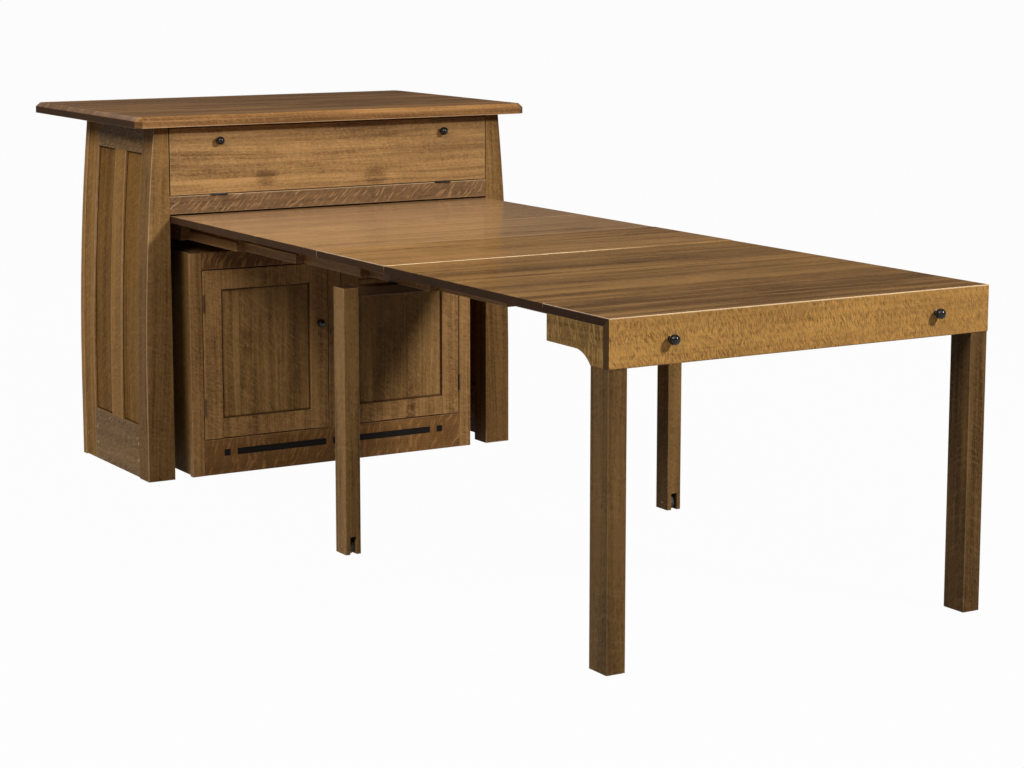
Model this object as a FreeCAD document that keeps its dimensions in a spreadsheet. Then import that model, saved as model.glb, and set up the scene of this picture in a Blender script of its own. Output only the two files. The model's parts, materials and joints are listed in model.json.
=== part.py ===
import FreeCAD, Part
import math
import os
import Sketcher

# Kitchen island with a pull-out extension table, in millimetres, +Z up.
# Pieces are drawn from the cabinet front: X to the right, Y backwards, Z up from the floor.
# Every sub-part's Placement then shifts Y so that the origin lies under the middle of the whole.

# Driving dimensions of the whole and of the cabinet
CABINET_SIZES = {
    "cabinet_width": 1200,
    "cabinet_depth": 509,
    "body_height": 1017,
    "post_width": 82,
    "front_post_depth": 70,
    "back_post_depth": 25,
    "bow_start": 250,
    "bow_inset": 38,
    "top_side_overhang": 32,
    "top_thickness": 31,
    "top_front_overhang": 46,
    "top_back_overhang": 261,
    "top_clip": 18,
    "top_bevel": 12,
    "side_setback": 6,
    "frame_thickness": 20,
    "panel_setback": 7,
    "panel_thickness": 7,
    "groove_depth": 9,
    "tongue_length": 8,
    "fit_gap": 0.2,
    "bottom_rail_height": 152,
    "top_rail_height": 80,
    "side_back_stile": 66,
    "side_centre_stile": 77,
    "back_setback": 3,
    "table_clearance": 5,
    "middle_rail_height": 51,
    "face_thickness": 22,
    "tenon_thickness": 9,
    "tenon_length": 12,
    "tenon_shoulder": 8,
    "deck_thickness": 19,
    "liner_thickness": 12,
    "liner_drop": 28,
    "dado_depth": 4,
    "edge_ease": 1.5,
}

# Driving dimensions of the low cupboard, the doors and their fittings
CUPBOARD_SIZES = {
    "leg_gap": 55,
    "cupboard_clearance": 30.7,
    "cupboard_stile": 39,
    "cupboard_top_rail": 50,
    "cupboard_bottom_rail": 104,
    "cupboard_centre_stile": 40,
    "cupboard_face": 21,
    "cupboard_side_setback": 8,
    "cupboard_board": 16,
    "cupboard_back": 10,
    "shelf_height": 350,
    "shelf_setback": 45,
    "inlay_depth": 3,
    "inlay_centre": 63,
    "inlay_height": 19,
    "inlay_space": 23,
    "inlay_margin": 61.5,
    "door_thickness": 20,
    "door_gap": 2.5,
    "door_stile": 58,
    "door_rail": 58,
    "drop_front_top_gap": 6,
    "drop_front_gap": 2,
    "drop_front_side_gap": 2.5,
    "hinge_leaf": 1,
    "hinge_radius": 2.8,
    "hinge_pin_radius": 1.2,
    "hinge_pin_play": 0.05,
    "hinge_length": 50,
    "hinge_leaf_depth": 17,
    "hinge_stand_off": 0.3,
    "hinge_play": 0.3,
    "door_hinge_inset": 70,
    "drop_hinge_inset": 152,
    "ball_diameter": 24,
    "knob_neck_radius": 4.5,
    "knob_neck_length": 1.5,
    "knob_base_radius": 8,
    "knob_base_thickness": 2,
    "door_knob_drop": 177.5,
    "drop_knob_inset": 153,
    "drop_knob_share": 0.204,
    "end_knob_inset": 154,
}

# Driving dimensions of the extension table
TABLE_SIZES = {
    "table_side_gap": 3,
    "table_height": 762,
    "table_top_thickness": 19,
    "slide_lap_length": 90,
    "slide_height": 60,
    "slide_thickness": 24.1,
    "slide_gap": 0.4,
    "slide_inset": 60,
    "slide_top_gap": 0.3,
    "neck_length": 4,
    "neck_height": 8,
    "head_length": 5,
    "head_height": 18,
    "leaf_tail": 166,
    "leaf_gap": 0.3,
    "leaf_ease": 1.2,
    "end_length": 262,
    "apron_height": 108,
    "apron_thickness": 22,
    "skirt_height": 79,
    "skirt_length": 223,
    "skirt_thickness": 20,
    "skirt_flat": 114,
    "leg_width": 48,
    "leg_depth": 71,
    "leg_setback": 2,
    "mid_leg_width": 43,
    "mid_leg_depth": 55.5,
    "mid_leg_inset": 3.4,
    "mid_leg_setback": 192.8,
    "mid_leg_drop": 1.7,
    "mid_leg_foot": 2.5,
    "mid_rail_height": 24,
    "mid_rail_depth": 50,
    "wheel_diameter": 40,
    "wheel_width": 15,
    "wheel_gap": 1.5,
    "wheel_ease": 2,
    "slot_height": 48,
    "axle_radius": 3,
    "axle_play": 0.05,
    "axle_head_gap": 1,
}

STAGE_COUNT = 7
LEAF_COUNT = 6
MID_STAGE = 4

doc = FreeCAD.newDocument("KitchenIsland")
sheet = doc.addObject("Spreadsheet::Sheet", "Sizes")


class Size:
    """A length that carries both its value and the sheet expression that gives it."""

    def __init__(self, value, text):
        self.value = float(value)
        self.text = text

    def __add__(self, other):
        other = as_size(other)
        return Size(self.value + other.value, "(%s + %s)" % (self.text, other.text))

    def __sub__(self, other):
        other = as_size(other)
        return Size(self.value - other.value, "(%s - %s)" % (self.text, other.text))

    def __mul__(self, other):
        other = as_size(other)
        return Size(self.value * other.value, "(%s * %s)" % (self.text, other.text))

    def __truediv__(self, other):
        other = as_size(other)
        return Size(self.value / other.value, "(%s / %s)" % (self.text, other.text))

    def __neg__(self):
        return Size(-self.value, "(0 - %s)" % self.text)

    def __rsub__(self, other):
        return as_size(other) - self

    def root(self):
        return Size(math.sqrt(self.value), "sqrt(%s)" % self.text)


def as_size(number):
    """Take a plain number, such as zero or a count, as a Size."""
    if isinstance(number, Size):
        return number
    return Size(number, repr(number))


class Sizes:
    """The sheet's cells, each as a Size under its alias."""


def fill_sheet(*tables):
    """Write the driving dimensions into the sheet and hand them back by name."""
    sizes = Sizes()
    row = 0
    for table in tables:
        for alias, value in table.items():
            row += 1
            sheet.set("A%d" % row, alias.replace("_", " "))
            sheet.set("B%d" % row, str(value))
            sheet.setAlias("B%d" % row, alias)
            setattr(sizes, alias, Size(value, "Sizes.%s" % alias))
    doc.recompute()
    return sizes


S = fill_sheet(CABINET_SIZES, CUPBOARD_SIZES, TABLE_SIZES)
ZERO = as_size(0)

# Worked-out lengths that several pieces share
half_opening = S.cabinet_width / 2 - S.post_width
half_table = half_opening - S.table_side_gap
half_cupboard = half_opening - S.leg_gap
groove_outer = S.side_setback + S.panel_setback
groove_inner = groove_outer + S.panel_thickness
frame_inner = S.side_setback + S.frame_thickness
upper_rail_bottom = S.body_height - S.top_rail_height
side_frame_back = S.cabinet_depth - S.back_post_depth
side_panel_back = side_frame_back - S.side_back_stile
side_panel_width = (side_panel_back - S.front_post_depth - S.side_centre_stile) / 2
slide_top = S.table_height - S.table_top_thickness - S.slide_top_gap
slide_bottom = slide_top - S.slide_height
slide_pitch = S.slide_thickness + S.slide_gap
slide_length = side_frame_back - S.front_post_depth
stage_travel = slide_length - S.slide_lap_length
table_reach = stage_travel * STAGE_COUNT
table_front = -table_reach
end_back = table_front + S.end_length
leaf_width = (S.leaf_tail - end_back) / LEAF_COUNT
middle_rail_bottom = S.table_height + S.table_clearance
middle_rail_top = middle_rail_bottom + S.middle_rail_height
drop_front_bottom = middle_rail_top + S.drop_front_gap
drop_front_top = S.body_height - S.drop_front_top_gap
cupboard_height = slide_bottom - S.cupboard_clearance
slide_outer = half_table - S.slide_inset
knob_reach = S.knob_base_thickness + S.knob_neck_length + S.ball_diameter
knob_centre = S.knob_base_thickness + S.knob_neck_length + S.ball_diameter / 2
front_shift = (table_reach + knob_reach - S.cabinet_depth - S.top_back_overhang) / 2
cupboard_back_face = S.cabinet_depth - S.back_setback - S.frame_thickness
door_opening_outer = half_cupboard - S.cupboard_stile
door_opening_bottom = S.cupboard_bottom_rail
door_opening_top = cupboard_height - S.cupboard_top_rail


def bow_radius():
    """Radius of the bow, from its height and how far it leans in at the top."""
    rise = S.body_height - S.bow_start
    return (rise * rise + S.bow_inset * S.bow_inset) / (S.bow_inset * 2)


def bow_x(depth, height):
    """X of the bowed surface that lies depth inside the cabinet's outer face."""
    if height.value <= S.bow_start.value:
        return S.cabinet_width / 2 - depth
    reach = bow_radius() - depth
    climb = height - S.bow_start
    return S.cabinet_width / 2 - bow_radius() + (reach * reach - climb * climb).root()


def bow_band(outer, inner, bottom, top):
    """Outline between two parallel bowed surfaces, from one height to another."""
    low = bottom.value < S.bow_start.value
    start = S.bow_start if low else bottom
    corners = []
    if low:
        corners.append((bow_x(outer, bottom), bottom))
    corners.append((bow_x(outer, start), start, bow_radius() - outer))
    corners.append((bow_x(outer, top), top))
    corners.append((bow_x(inner, top), top, -(bow_radius() - inner)))
    corners.append((bow_x(inner, start), start))
    if low:
        corners.append((bow_x(inner, bottom), bottom))
    return corners


def rectangle(left, right, low, high):
    return [(left, low), (right, low), (right, high), (left, high)]


def eased(left, right, low, high, ease):
    """A rectangle whose four corners are cut back by ease."""
    return [
        (left + ease, low), (right - ease, low), (right, low + ease), (right, high - ease),
        (right - ease, high), (left + ease, high), (left, high - ease), (left, low + ease),
    ]


def new_body(label):
    """A body that stands in the cabinet's frame, shifted so that the origin is in the middle."""
    body = doc.addObject("PartDesign::Body", label)
    body.Label = label
    body.setExpression(".Placement.Base.y", front_shift.text)
    return body


def origin_plane(body, role):
    return next(part for part in body.Origin.OriginFeatures if part.Role == role)


def arc_geometry(start, end, radius):
    """Arc from start to end; a positive radius turns left, a negative one turns right."""
    chord = end - start
    reach = abs(radius)
    lift = math.sqrt(reach * reach - chord.Length * chord.Length / 4)
    side = FreeCAD.Vector(-chord.y, chord.x, 0).normalize()
    centre = (start + end) / 2 + side * (lift if radius > 0 else -lift)
    first, last = (start, end) if radius > 0 else (end, start)
    first_angle = math.atan2(first.y - centre.y, first.x - centre.x)
    last_angle = math.atan2(last.y - centre.y, last.x - centre.x)
    circle = Part.Circle(centre, FreeCAD.Vector(0, 0, 1), reach)
    return Part.ArcOfCircle(circle, first_angle, last_angle)


def bind(sketch, constraint, size):
    sketch.setExpression("Constraints[%d]" % constraint, size.text)


def hold(sketch, kind, axis, index, end, size):
    """Hold a corner at a size from the sketch's origin, or on its axis where the size is zero."""
    if size.value == 0:
        sketch.addConstraint(Sketcher.Constraint("PointOnObject", index, end, axis))
        return
    bind(sketch, sketch.addConstraint(Sketcher.Constraint(kind, -1, 1, index, end, size.value)), size)


def draw_outline(sketch, corners):
    """Draw a closed outline. A corner is (x, y), or (x, y, radius) where an arc starts."""
    count = len(corners)
    points = [FreeCAD.Vector(corner[0].value, corner[1].value, 0) for corner in corners]
    ends = []
    for index, corner in enumerate(corners):
        start = points[index]
        finish = points[(index + 1) % count]
        if len(corner) == 3:
            sketch.addGeometry(arc_geometry(start, finish, corner[2].value), False)
            ends.append((1, 2) if corner[2].value > 0 else (2, 1))
        else:
            sketch.addGeometry(Part.LineSegment(start, finish), False)
            ends.append((1, 2))
    for index, corner in enumerate(corners):
        after = (index + 1) % count
        sketch.addConstraint(
            Sketcher.Constraint("Coincident", index, ends[index][1], after, ends[after][0]))
        hold(sketch, "DistanceX", -2, index, ends[index][0], corner[0])
        hold(sketch, "DistanceY", -1, index, ends[index][0], corner[1])
        if len(corner) == 3:
            radius = corner[2] if corner[2].value > 0 else -corner[2]
            bind(sketch, sketch.addConstraint(Sketcher.Constraint("Radius", index, radius.value)), radius)


def new_sketch(body, name, plane, level):
    """A sketch on one of the body's origin planes, moved along that plane's normal to level."""
    sketch = body.newObject("Sketcher::SketchObject", name)
    sketch.AttachmentSupport = [(origin_plane(body, plane), "")]
    sketch.MapMode = "FlatFace"
    if level.text != "0":
        sketch.setExpression(".AttachmentOffset.Base.z", level.text)
    return sketch


def add(body, plane, corners, start, end):
    """Pad an outline from start to end along the plane's axis: X, Y or Z."""
    name = "%s_pad%d" % (body.Label, len(body.Group))
    level = -end if plane == "XZ_Plane" else start
    sketch = new_sketch(body, name + "_sketch", plane, level)
    draw_outline(sketch, corners)
    pad = body.newObject("PartDesign::Pad", name)
    pad.Profile = sketch
    pad.setExpression("Length", (end - start).text)
    return pad


def cut(body, plane, corners, start, end):
    """Pocket an outline from start to end along the plane's axis: X, Y or Z."""
    name = "%s_cut%d" % (body.Label, len(body.Group))
    level = -start if plane == "XZ_Plane" else end
    sketch = new_sketch(body, name + "_sketch", plane, level)
    draw_outline(sketch, corners)
    pocket = body.newObject("PartDesign::Pocket", name)
    pocket.Profile = sketch
    pocket.setExpression("Length", (end - start).text)
    return pocket


def board_along_x(label, left, right, front, back, bottom, top):
    body = new_body(label)
    add(body, "YZ_Plane", eased(front, back, bottom, top, S.edge_ease), left, right)
    return body


def board_along_y(label, left, right, front, back, bottom, top):
    body = new_body(label)
    add(body, "XZ_Plane", eased(left, right, bottom, top, S.edge_ease), front, back)
    return body


def board_along_z(label, left, right, front, back, bottom, top):
    body = new_body(label)
    add(body, "XY_Plane", eased(left, right, front, back, S.edge_ease), bottom, top)
    return body


def mirrored(label, source):
    """The same piece on the other side of the island."""
    mirror = doc.addObject("Part::Mirroring", label)
    mirror.Label = label
    mirror.Source = source
    mirror.Normal = FreeCAD.Vector(1, 0, 0)
    return mirror


def group(label, pieces):
    """One node that holds several separate solids."""
    compound = doc.addObject("Part::Compound", label)
    compound.Label = label
    compound.Links = pieces
    return compound


def pair(label, source):
    """A right-hand piece and its mirror image as one node."""
    return group(label, [source, mirrored(label + "_other", source)])


def make_island_top():
    """The heavy top with clipped corners and a wide bevel round its upper edge."""
    body = new_body("island_top")
    side = S.cabinet_width / 2 + S.top_side_overhang
    front = -S.top_front_overhang
    back = S.cabinet_depth + S.top_back_overhang
    corners = eased(-side, side, front, back, S.top_clip)
    slab = add(body, "XY_Plane", corners, S.body_height, S.body_height + S.top_thickness)
    doc.recompute()
    upper = max(range(len(slab.Shape.Faces)), key=lambda n: slab.Shape.Faces[n].CenterOfMass.z)
    bevel = body.newObject("PartDesign::Chamfer", "island_top_bevel")
    bevel.Base = (slab, ["Face%d" % (upper + 1)])
    bevel.setExpression("Size", S.top_bevel.text)
    return [body]


def post_outline():
    """A post seen from the front: straight inside, bowed in towards the top outside."""
    corners = [(half_opening, ZERO), (bow_x(ZERO, ZERO), ZERO)]
    corners.append((bow_x(ZERO, S.bow_start), S.bow_start, bow_radius()))
    corners.append((bow_x(ZERO, S.body_height), S.body_height))
    corners.append((half_opening, S.body_height))
    return corners


def ease_posts_outer_edges(body, post):
    """Take the sharpness off the long outer edges of a post."""
    doc.recompute()
    names = []
    for index, edge in enumerate(post.Shape.Edges):
        box = edge.BoundBox
        if box.YLength < S.edge_ease.value and box.ZLength > S.bow_start.value / 2:
            if box.XMin > half_opening.value + S.edge_ease.value:
                names.append("Edge%d" % (index + 1))
    chamfer = body.newObject("PartDesign::Chamfer", body.Label + "_ease")
    chamfer.Base = (post, names)
    chamfer.setExpression("Size", S.edge_ease.text)


def make_posts():
    """Four corner posts. Their grooves take the panels and the tongues of the rails."""
    front = new_body("post_front_right")
    blank = add(front, "XZ_Plane", post_outline(), ZERO, S.front_post_depth)
    ease_posts_outer_edges(front, blank)
    cut(front, "XZ_Plane", bow_band(groove_outer, groove_inner, ZERO, S.body_height),
        S.front_post_depth - S.groove_depth, S.front_post_depth)
    tenon_front = (S.face_thickness - S.tenon_thickness) / 2
    mortise = rectangle(
        tenon_front - S.fit_gap, tenon_front + S.tenon_thickness + S.fit_gap,
        middle_rail_bottom + S.tenon_shoulder - S.fit_gap,
        middle_rail_top - S.tenon_shoulder + S.fit_gap)
    cut(front, "YZ_Plane", mortise, half_opening, half_opening + S.tenon_length + S.fit_gap)

    back = new_body("post_back_right")
    blank = add(back, "XZ_Plane", post_outline(), side_frame_back, S.cabinet_depth)
    ease_posts_outer_edges(back, blank)
    groove = rectangle(half_opening, half_opening + S.groove_depth, *back_groove())
    cut(back, "XY_Plane", groove, ZERO, S.body_height)
    return [front, mirrored("post_front_left", front), pair("posts_back", back)]


def back_groove():
    """Front and back of the groove that runs round the back frame."""
    back = S.cabinet_depth - S.back_setback - S.panel_setback
    return back - S.panel_thickness, back


def make_side_rails():
    """Bottom and top rails of a side frame, with a groove and end tongues each."""
    front = S.front_post_depth
    back = side_panel_back
    tongue_front = front - S.tongue_length
    tongue_back = back + S.tongue_length
    top = S.bottom_rail_height
    floor = top - S.groove_depth
    tongue_outer = groove_outer + S.fit_gap
    tongue_inner = groove_inner - S.fit_gap

    lower = new_body("side_rail_lower")
    lower_outline = [
        (bow_x(frame_inner, ZERO), ZERO), (bow_x(S.side_setback, ZERO), ZERO),
        (bow_x(S.side_setback, top), top), (bow_x(groove_outer, top), top),
        (bow_x(groove_outer, floor), floor), (bow_x(groove_inner, floor), floor),
        (bow_x(groove_inner, top), top), (bow_x(frame_inner, top), top),
    ]
    add(lower, "XZ_Plane", lower_outline, front, back)
    tongue = rectangle(bow_x(tongue_inner, ZERO), bow_x(tongue_outer, ZERO), ZERO, floor)
    add(lower, "XZ_Plane", tongue, tongue_front, tongue_back)

    upper = new_body("side_rail_upper")
    low = upper_rail_bottom
    roof = low + S.groove_depth
    high = S.body_height
    radius = bow_radius()
    upper_outline = [
        (bow_x(S.side_setback, low), low, radius - S.side_setback),
        (bow_x(S.side_setback, high), high),
        (bow_x(frame_inner, high), high, -(radius - frame_inner)),
        (bow_x(frame_inner, low), low), (bow_x(groove_inner, low), low),
        (bow_x(groove_inner, roof), roof), (bow_x(groove_outer, roof), roof),
        (bow_x(groove_outer, low), low),
    ]
    add(upper, "XZ_Plane", upper_outline, front, back)
    add(upper, "XZ_Plane", bow_band(tongue_outer, tongue_inner, roof, high), tongue_front, tongue_back)
    right = group("side_rails_right", [lower, upper])
    return [right, mirrored("side_rails_left", right)]


def make_side_stiles():
    """Centre stile and back stile of a side frame, bowed like the posts."""
    low = S.bottom_rail_height
    high = upper_rail_bottom
    start = S.front_post_depth + side_panel_width
    end = start + S.side_centre_stile
    centre = new_body("side_stile_centre")
    add(centre, "XZ_Plane", bow_band(S.side_setback, frame_inner, low, high), start, end)
    for edge in ((start, start + S.groove_depth), (end - S.groove_depth, end)):
        cut(centre, "XZ_Plane", bow_band(groove_outer, groove_inner, low, high), *edge)
    tongue = bow_band(groove_outer + S.fit_gap, groove_inner - S.fit_gap,
                      low - S.tongue_length, high + S.tongue_length)
    add(centre, "XZ_Plane", tongue, start + S.groove_depth, end - S.groove_depth)

    back = new_body("side_stile_back")
    add(back, "XZ_Plane", bow_band(S.side_setback, frame_inner, ZERO, S.body_height),
        side_panel_back, side_frame_back)
    cut(back, "XZ_Plane", bow_band(groove_outer, groove_inner, ZERO, S.body_height),
        side_panel_back, side_panel_back + S.groove_depth)
    right = group("side_stiles_right", [centre, back])
    return [right, mirrored("side_stiles_left", right)]


def make_side_panels():
    """Two tall bowed panels on each side, held in the grooves of their frame."""
    outline = bow_band(groove_outer + S.fit_gap, groove_inner - S.fit_gap,
                       S.bottom_rail_height - S.tongue_length, upper_rail_bottom + S.tongue_length)
    starts = (S.front_post_depth, side_panel_back - side_panel_width)
    panels = []
    for name, start in zip(("front", "back"), starts):
        panel = new_body("side_panel_" + name)
        add(panel, "XZ_Plane", outline, start - S.tongue_length,
            start + side_panel_width + S.tongue_length)
        panels.append(panel)
    right = group("side_panels_right", panels)
    return [right, mirrored("side_panels_left", right)]


def make_back():
    """Framed back between the rear posts: two rails, a centre stile and two panels."""
    front = cupboard_back_face
    back = S.cabinet_depth - S.back_setback
    groove_front, groove_back = back_groove()
    tongue_front = groove_front + S.fit_gap
    tongue_back = groove_back - S.fit_gap
    reach = half_opening + S.tongue_length
    low = S.bottom_rail_height
    high = upper_rail_bottom
    floor = low - S.groove_depth
    roof = high + S.groove_depth

    lower = new_body("back_rail_lower")
    add(lower, "YZ_Plane", [
        (front, ZERO), (back, ZERO), (back, low), (groove_back, low), (groove_back, floor),
        (groove_front, floor), (groove_front, low), (front, low)], -half_opening, half_opening)
    add(lower, "YZ_Plane", rectangle(tongue_front, tongue_back, ZERO, floor), -reach, reach)
    upper = new_body("back_rail_upper")
    add(upper, "YZ_Plane", [
        (front, high), (groove_front, high), (groove_front, roof), (groove_back, roof),
        (groove_back, high), (back, high), (back, S.body_height), (front, S.body_height)],
        -half_opening, half_opening)
    add(upper, "YZ_Plane", rectangle(tongue_front, tongue_back, roof, S.body_height), -reach, reach)

    half = S.side_centre_stile / 2
    inner = half - S.groove_depth
    stile = new_body("back_stile")
    add(stile, "XY_Plane", [
        (-half, front), (half, front), (half, groove_front), (inner, groove_front),
        (inner, groove_back), (half, groove_back), (half, back), (-half, back),
        (-half, groove_back), (-inner, groove_back), (-inner, groove_front),
        (-half, groove_front)], low, high)
    add(stile, "XY_Plane", rectangle(-inner, inner, tongue_front, tongue_back),
        low - S.tongue_length, high + S.tongue_length)

    panel = new_body("back_panel")
    add(panel, "XY_Plane", rectangle(half - S.tongue_length, reach, tongue_front, tongue_back),
        low - S.tongue_length, high + S.tongue_length)
    return [group("back_rails", [lower, upper]), stile, pair("back_panels", panel)]


def make_middle_rail():
    """Front rail between the leaf compartment and the table, tenoned into the posts."""
    bottom = middle_rail_bottom
    top = bottom + S.middle_rail_height
    rail = board_along_x("middle_rail", -half_opening, half_opening, ZERO, S.face_thickness, bottom, top)
    tenon_front = (S.face_thickness - S.tenon_thickness) / 2
    tenon = rectangle(tenon_front, tenon_front + S.tenon_thickness,
                      bottom + S.tenon_shoulder, top - S.tenon_shoulder)
    add(rail, "YZ_Plane", tenon, -(half_opening + S.tenon_length), half_opening + S.tenon_length)
    return [rail]


def make_compartment():
    """Floor and side boards of the compartment where the leaves are kept."""
    top = middle_rail_top
    bottom = top - S.deck_thickness
    front = S.front_post_depth + S.fit_gap
    wide = half_opening + S.dado_depth
    back = side_frame_back
    deck = new_body("compartment_floor")
    add(deck, "XY_Plane", [
        (-half_opening, S.face_thickness), (half_opening, S.face_thickness), (half_opening, front),
        (wide, front), (wide, back), (-wide, back), (-wide, front), (-half_opening, front)],
        bottom, top)
    side = new_body("compartment_side")
    outer = half_opening + S.liner_thickness
    add(side, "XZ_Plane", rectangle(half_opening, outer, slide_bottom - S.liner_drop, S.body_height),
        S.front_post_depth, back)
    cut(side, "XZ_Plane", rectangle(half_opening, wide + S.fit_gap, bottom - S.fit_gap, top + S.fit_gap),
        S.front_post_depth, back)
    block = new_body("slide_block")
    add(block, "XZ_Plane", rectangle(slide_outer, half_opening, slide_bottom, slide_top),
        S.front_post_depth + S.skirt_length, back)
    return [deck, pair("compartment_sides", side), pair("slide_blocks", block)]


def slide_outline(stage):
    """Cross-section of one wooden slide: a T groove outside and a T tongue inside."""
    outer = slide_outer - slide_pitch * stage
    inner = outer - S.slide_thickness
    middle = (slide_bottom + slide_top) / 2
    neck = S.neck_height / 2
    head = S.head_height / 2
    corners = [(outer, slide_bottom)]
    if stage > 0:
        lip = outer + S.slide_gap - S.neck_length + S.slide_gap
        floor = outer + S.slide_gap - S.neck_length - S.head_length - S.slide_gap
        mouth = neck + S.slide_gap
        cavity = head + S.slide_gap
        corners += [
            (outer, middle - mouth), (lip, middle - mouth), (lip, middle - cavity),
            (floor, middle - cavity), (floor, middle + cavity), (lip, middle + cavity),
            (lip, middle + mouth), (outer, middle + mouth)]
    corners += [(outer, slide_top), (inner, slide_top)]
    if stage < STAGE_COUNT:
        base = inner - S.neck_length
        tip = base - S.head_length
        corners += [
            (inner, middle + neck), (base, middle + neck), (base, middle + head),
            (tip, middle + head), (tip, middle - head), (base, middle - head),
            (base, middle - neck), (inner, middle - neck)]
    corners.append((inner, slide_bottom))
    return corners


def slide_front(stage):
    """Front end of one stage's slides when the table is pulled out."""
    return S.front_post_depth - stage_travel * stage


def make_slides():
    """Telescoping wooden slides: each pair runs in the tongues of the pair outside it."""
    nodes = []
    for stage in range(STAGE_COUNT + 1):
        front = slide_front(stage)
        slide = new_body("slide_right_%d" % stage)
        add(slide, "XZ_Plane", slide_outline(stage), front, front + slide_length)
        nodes.append(pair("slide_pair_%d" % stage, slide))
    return nodes


def make_cupboard_face():
    """Face frame of the low cupboard, with the dark inlay let into its bottom rail."""
    depth = S.cupboard_face
    stile = board_along_z("cupboard_stile_right", door_opening_outer, half_cupboard, ZERO, depth,
                          ZERO, cupboard_height)
    centre = S.cupboard_centre_stile / 2
    middle = board_along_z("cupboard_stile_centre", -centre, centre, ZERO, depth,
                           door_opening_bottom, door_opening_top)
    upper = board_along_x("cupboard_rail_top", -door_opening_outer, door_opening_outer, ZERO, depth,
                          door_opening_top, cupboard_height)
    lower = board_along_x("cupboard_rail_bottom", -door_opening_outer, door_opening_outer, ZERO, depth,
                          ZERO, door_opening_bottom)
    pieces = []
    for index, (left, right) in enumerate(inlay_places()):
        low = S.inlay_centre - S.inlay_height / 2
        high = S.inlay_centre + S.inlay_height / 2
        cut(lower, "XZ_Plane", rectangle(left, right, low, high), ZERO, S.inlay_depth)
        piece = new_body("cupboard_inlay_%d" % index)
        add(piece, "XZ_Plane", rectangle(left, right, low, high), ZERO, S.inlay_depth)
        pieces.append(piece)
    stiles = [stile, mirrored("cupboard_stile_left", stile), middle]
    return [group("cupboard_stiles", stiles), group("cupboard_rails", [upper, lower]),
            group("cupboard_inlay", pieces)]


def inlay_places():
    """Left and right ends of the inlay: square, bar, square, bar, square."""
    square = S.inlay_height / 2
    bar_start = square + S.inlay_space
    outer_end = door_opening_outer - S.inlay_margin
    outer_start = outer_end - S.inlay_height
    bar_end = outer_start - S.inlay_space
    return [(-outer_end, -outer_start), (-bar_end, -bar_start), (-square, square),
            (bar_start, bar_end), (outer_start, outer_end)]


def make_cupboard_box():
    """Sides, boards and back of the low cupboard behind its face frame."""
    front = S.cupboard_face
    back = cupboard_back_face
    outer = half_cupboard - S.cupboard_side_setback
    inner = outer - S.cupboard_board
    board = S.cupboard_board
    side = new_body("cupboard_side")
    add(side, "XY_Plane", rectangle(inner, outer, front, back), ZERO, cupboard_height)
    seat = inner + S.dado_depth + S.fit_gap
    dado = rectangle(inner, seat, S.shelf_height - S.fit_gap, S.shelf_height + board + S.fit_gap)
    cut(side, "XZ_Plane", dado, S.shelf_setback, back - S.cupboard_back)
    wide = inner + S.dado_depth
    boards = []
    levels = {
        "cupboard_floor": (door_opening_bottom - board, inner, front),
        "cupboard_ceiling": (cupboard_height - board, inner, front),
        "cupboard_middle": (S.shelf_height, wide, S.shelf_setback),
    }
    for name, (level, reach, start) in levels.items():
        piece = new_body(name)
        add(piece, "XY_Plane", rectangle(-reach, reach, start, back - S.cupboard_back),
            level, level + board)
        boards.append(piece)
    rear = new_body("cupboard_back")
    add(rear, "XY_Plane", rectangle(-inner, inner, back - S.cupboard_back, back), ZERO, cupboard_height)
    return [pair("cupboard_sides", side), group("cupboard_boards", boards), rear]


def door_limits():
    """Left, right, bottom and top of the right-hand door."""
    left = S.cupboard_centre_stile / 2 + S.door_gap
    right = door_opening_outer - S.door_gap
    return left, right, door_opening_bottom + S.door_gap, door_opening_top - S.door_gap


def make_door():
    """Right-hand door: grooved stiles and rails round a flat recessed panel, and its mirror."""
    left, right, bottom, top = door_limits()
    depth = S.door_thickness
    groove_front = S.panel_setback
    groove_back = groove_front + S.panel_thickness
    tongue_front = groove_front + S.fit_gap
    tongue_back = groove_back - S.fit_gap
    inner_left = left + S.door_stile
    inner_right = right - S.door_stile
    pieces = []
    for name, near, far, mouth in (("inner", left, inner_left, inner_left),
                                   ("outer", inner_right, right, inner_right)):
        stile = board_along_z("door_stile_" + name, near, far, ZERO, depth, bottom, top)
        start = mouth - S.groove_depth if name == "inner" else mouth
        cut(stile, "XY_Plane", rectangle(start, start + S.groove_depth, groove_front, groove_back),
            bottom, top)
        pieces.append(stile)
    reach_left = inner_left - S.tongue_length
    reach_right = inner_right + S.tongue_length
    for name, low, high in (("lower", bottom, bottom + S.door_rail), ("upper", top - S.door_rail, top)):
        rail = board_along_x("door_rail_" + name, inner_left, inner_right, ZERO, depth, low, high)
        start = high - S.groove_depth if name == "lower" else low
        cut(rail, "YZ_Plane", rectangle(groove_front, groove_back, start, start + S.groove_depth),
            inner_left, inner_right)
        solid_low = low if name == "lower" else low + S.groove_depth
        solid_high = high - S.groove_depth if name == "lower" else high
        add(rail, "YZ_Plane", rectangle(tongue_front, tongue_back, solid_low, solid_high),
            reach_left, reach_right)
        pieces.append(rail)
    frame = group("door_frame_right", pieces)
    panel = new_body("door_panel_right")
    add(panel, "XZ_Plane", rectangle(reach_left, reach_right, bottom + S.door_rail - S.tongue_length,
                                     top - S.door_rail + S.tongue_length), tongue_front, tongue_back)
    return [frame, mirrored("door_frame_left", frame), panel, mirrored("door_panel_left", panel)]


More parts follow.
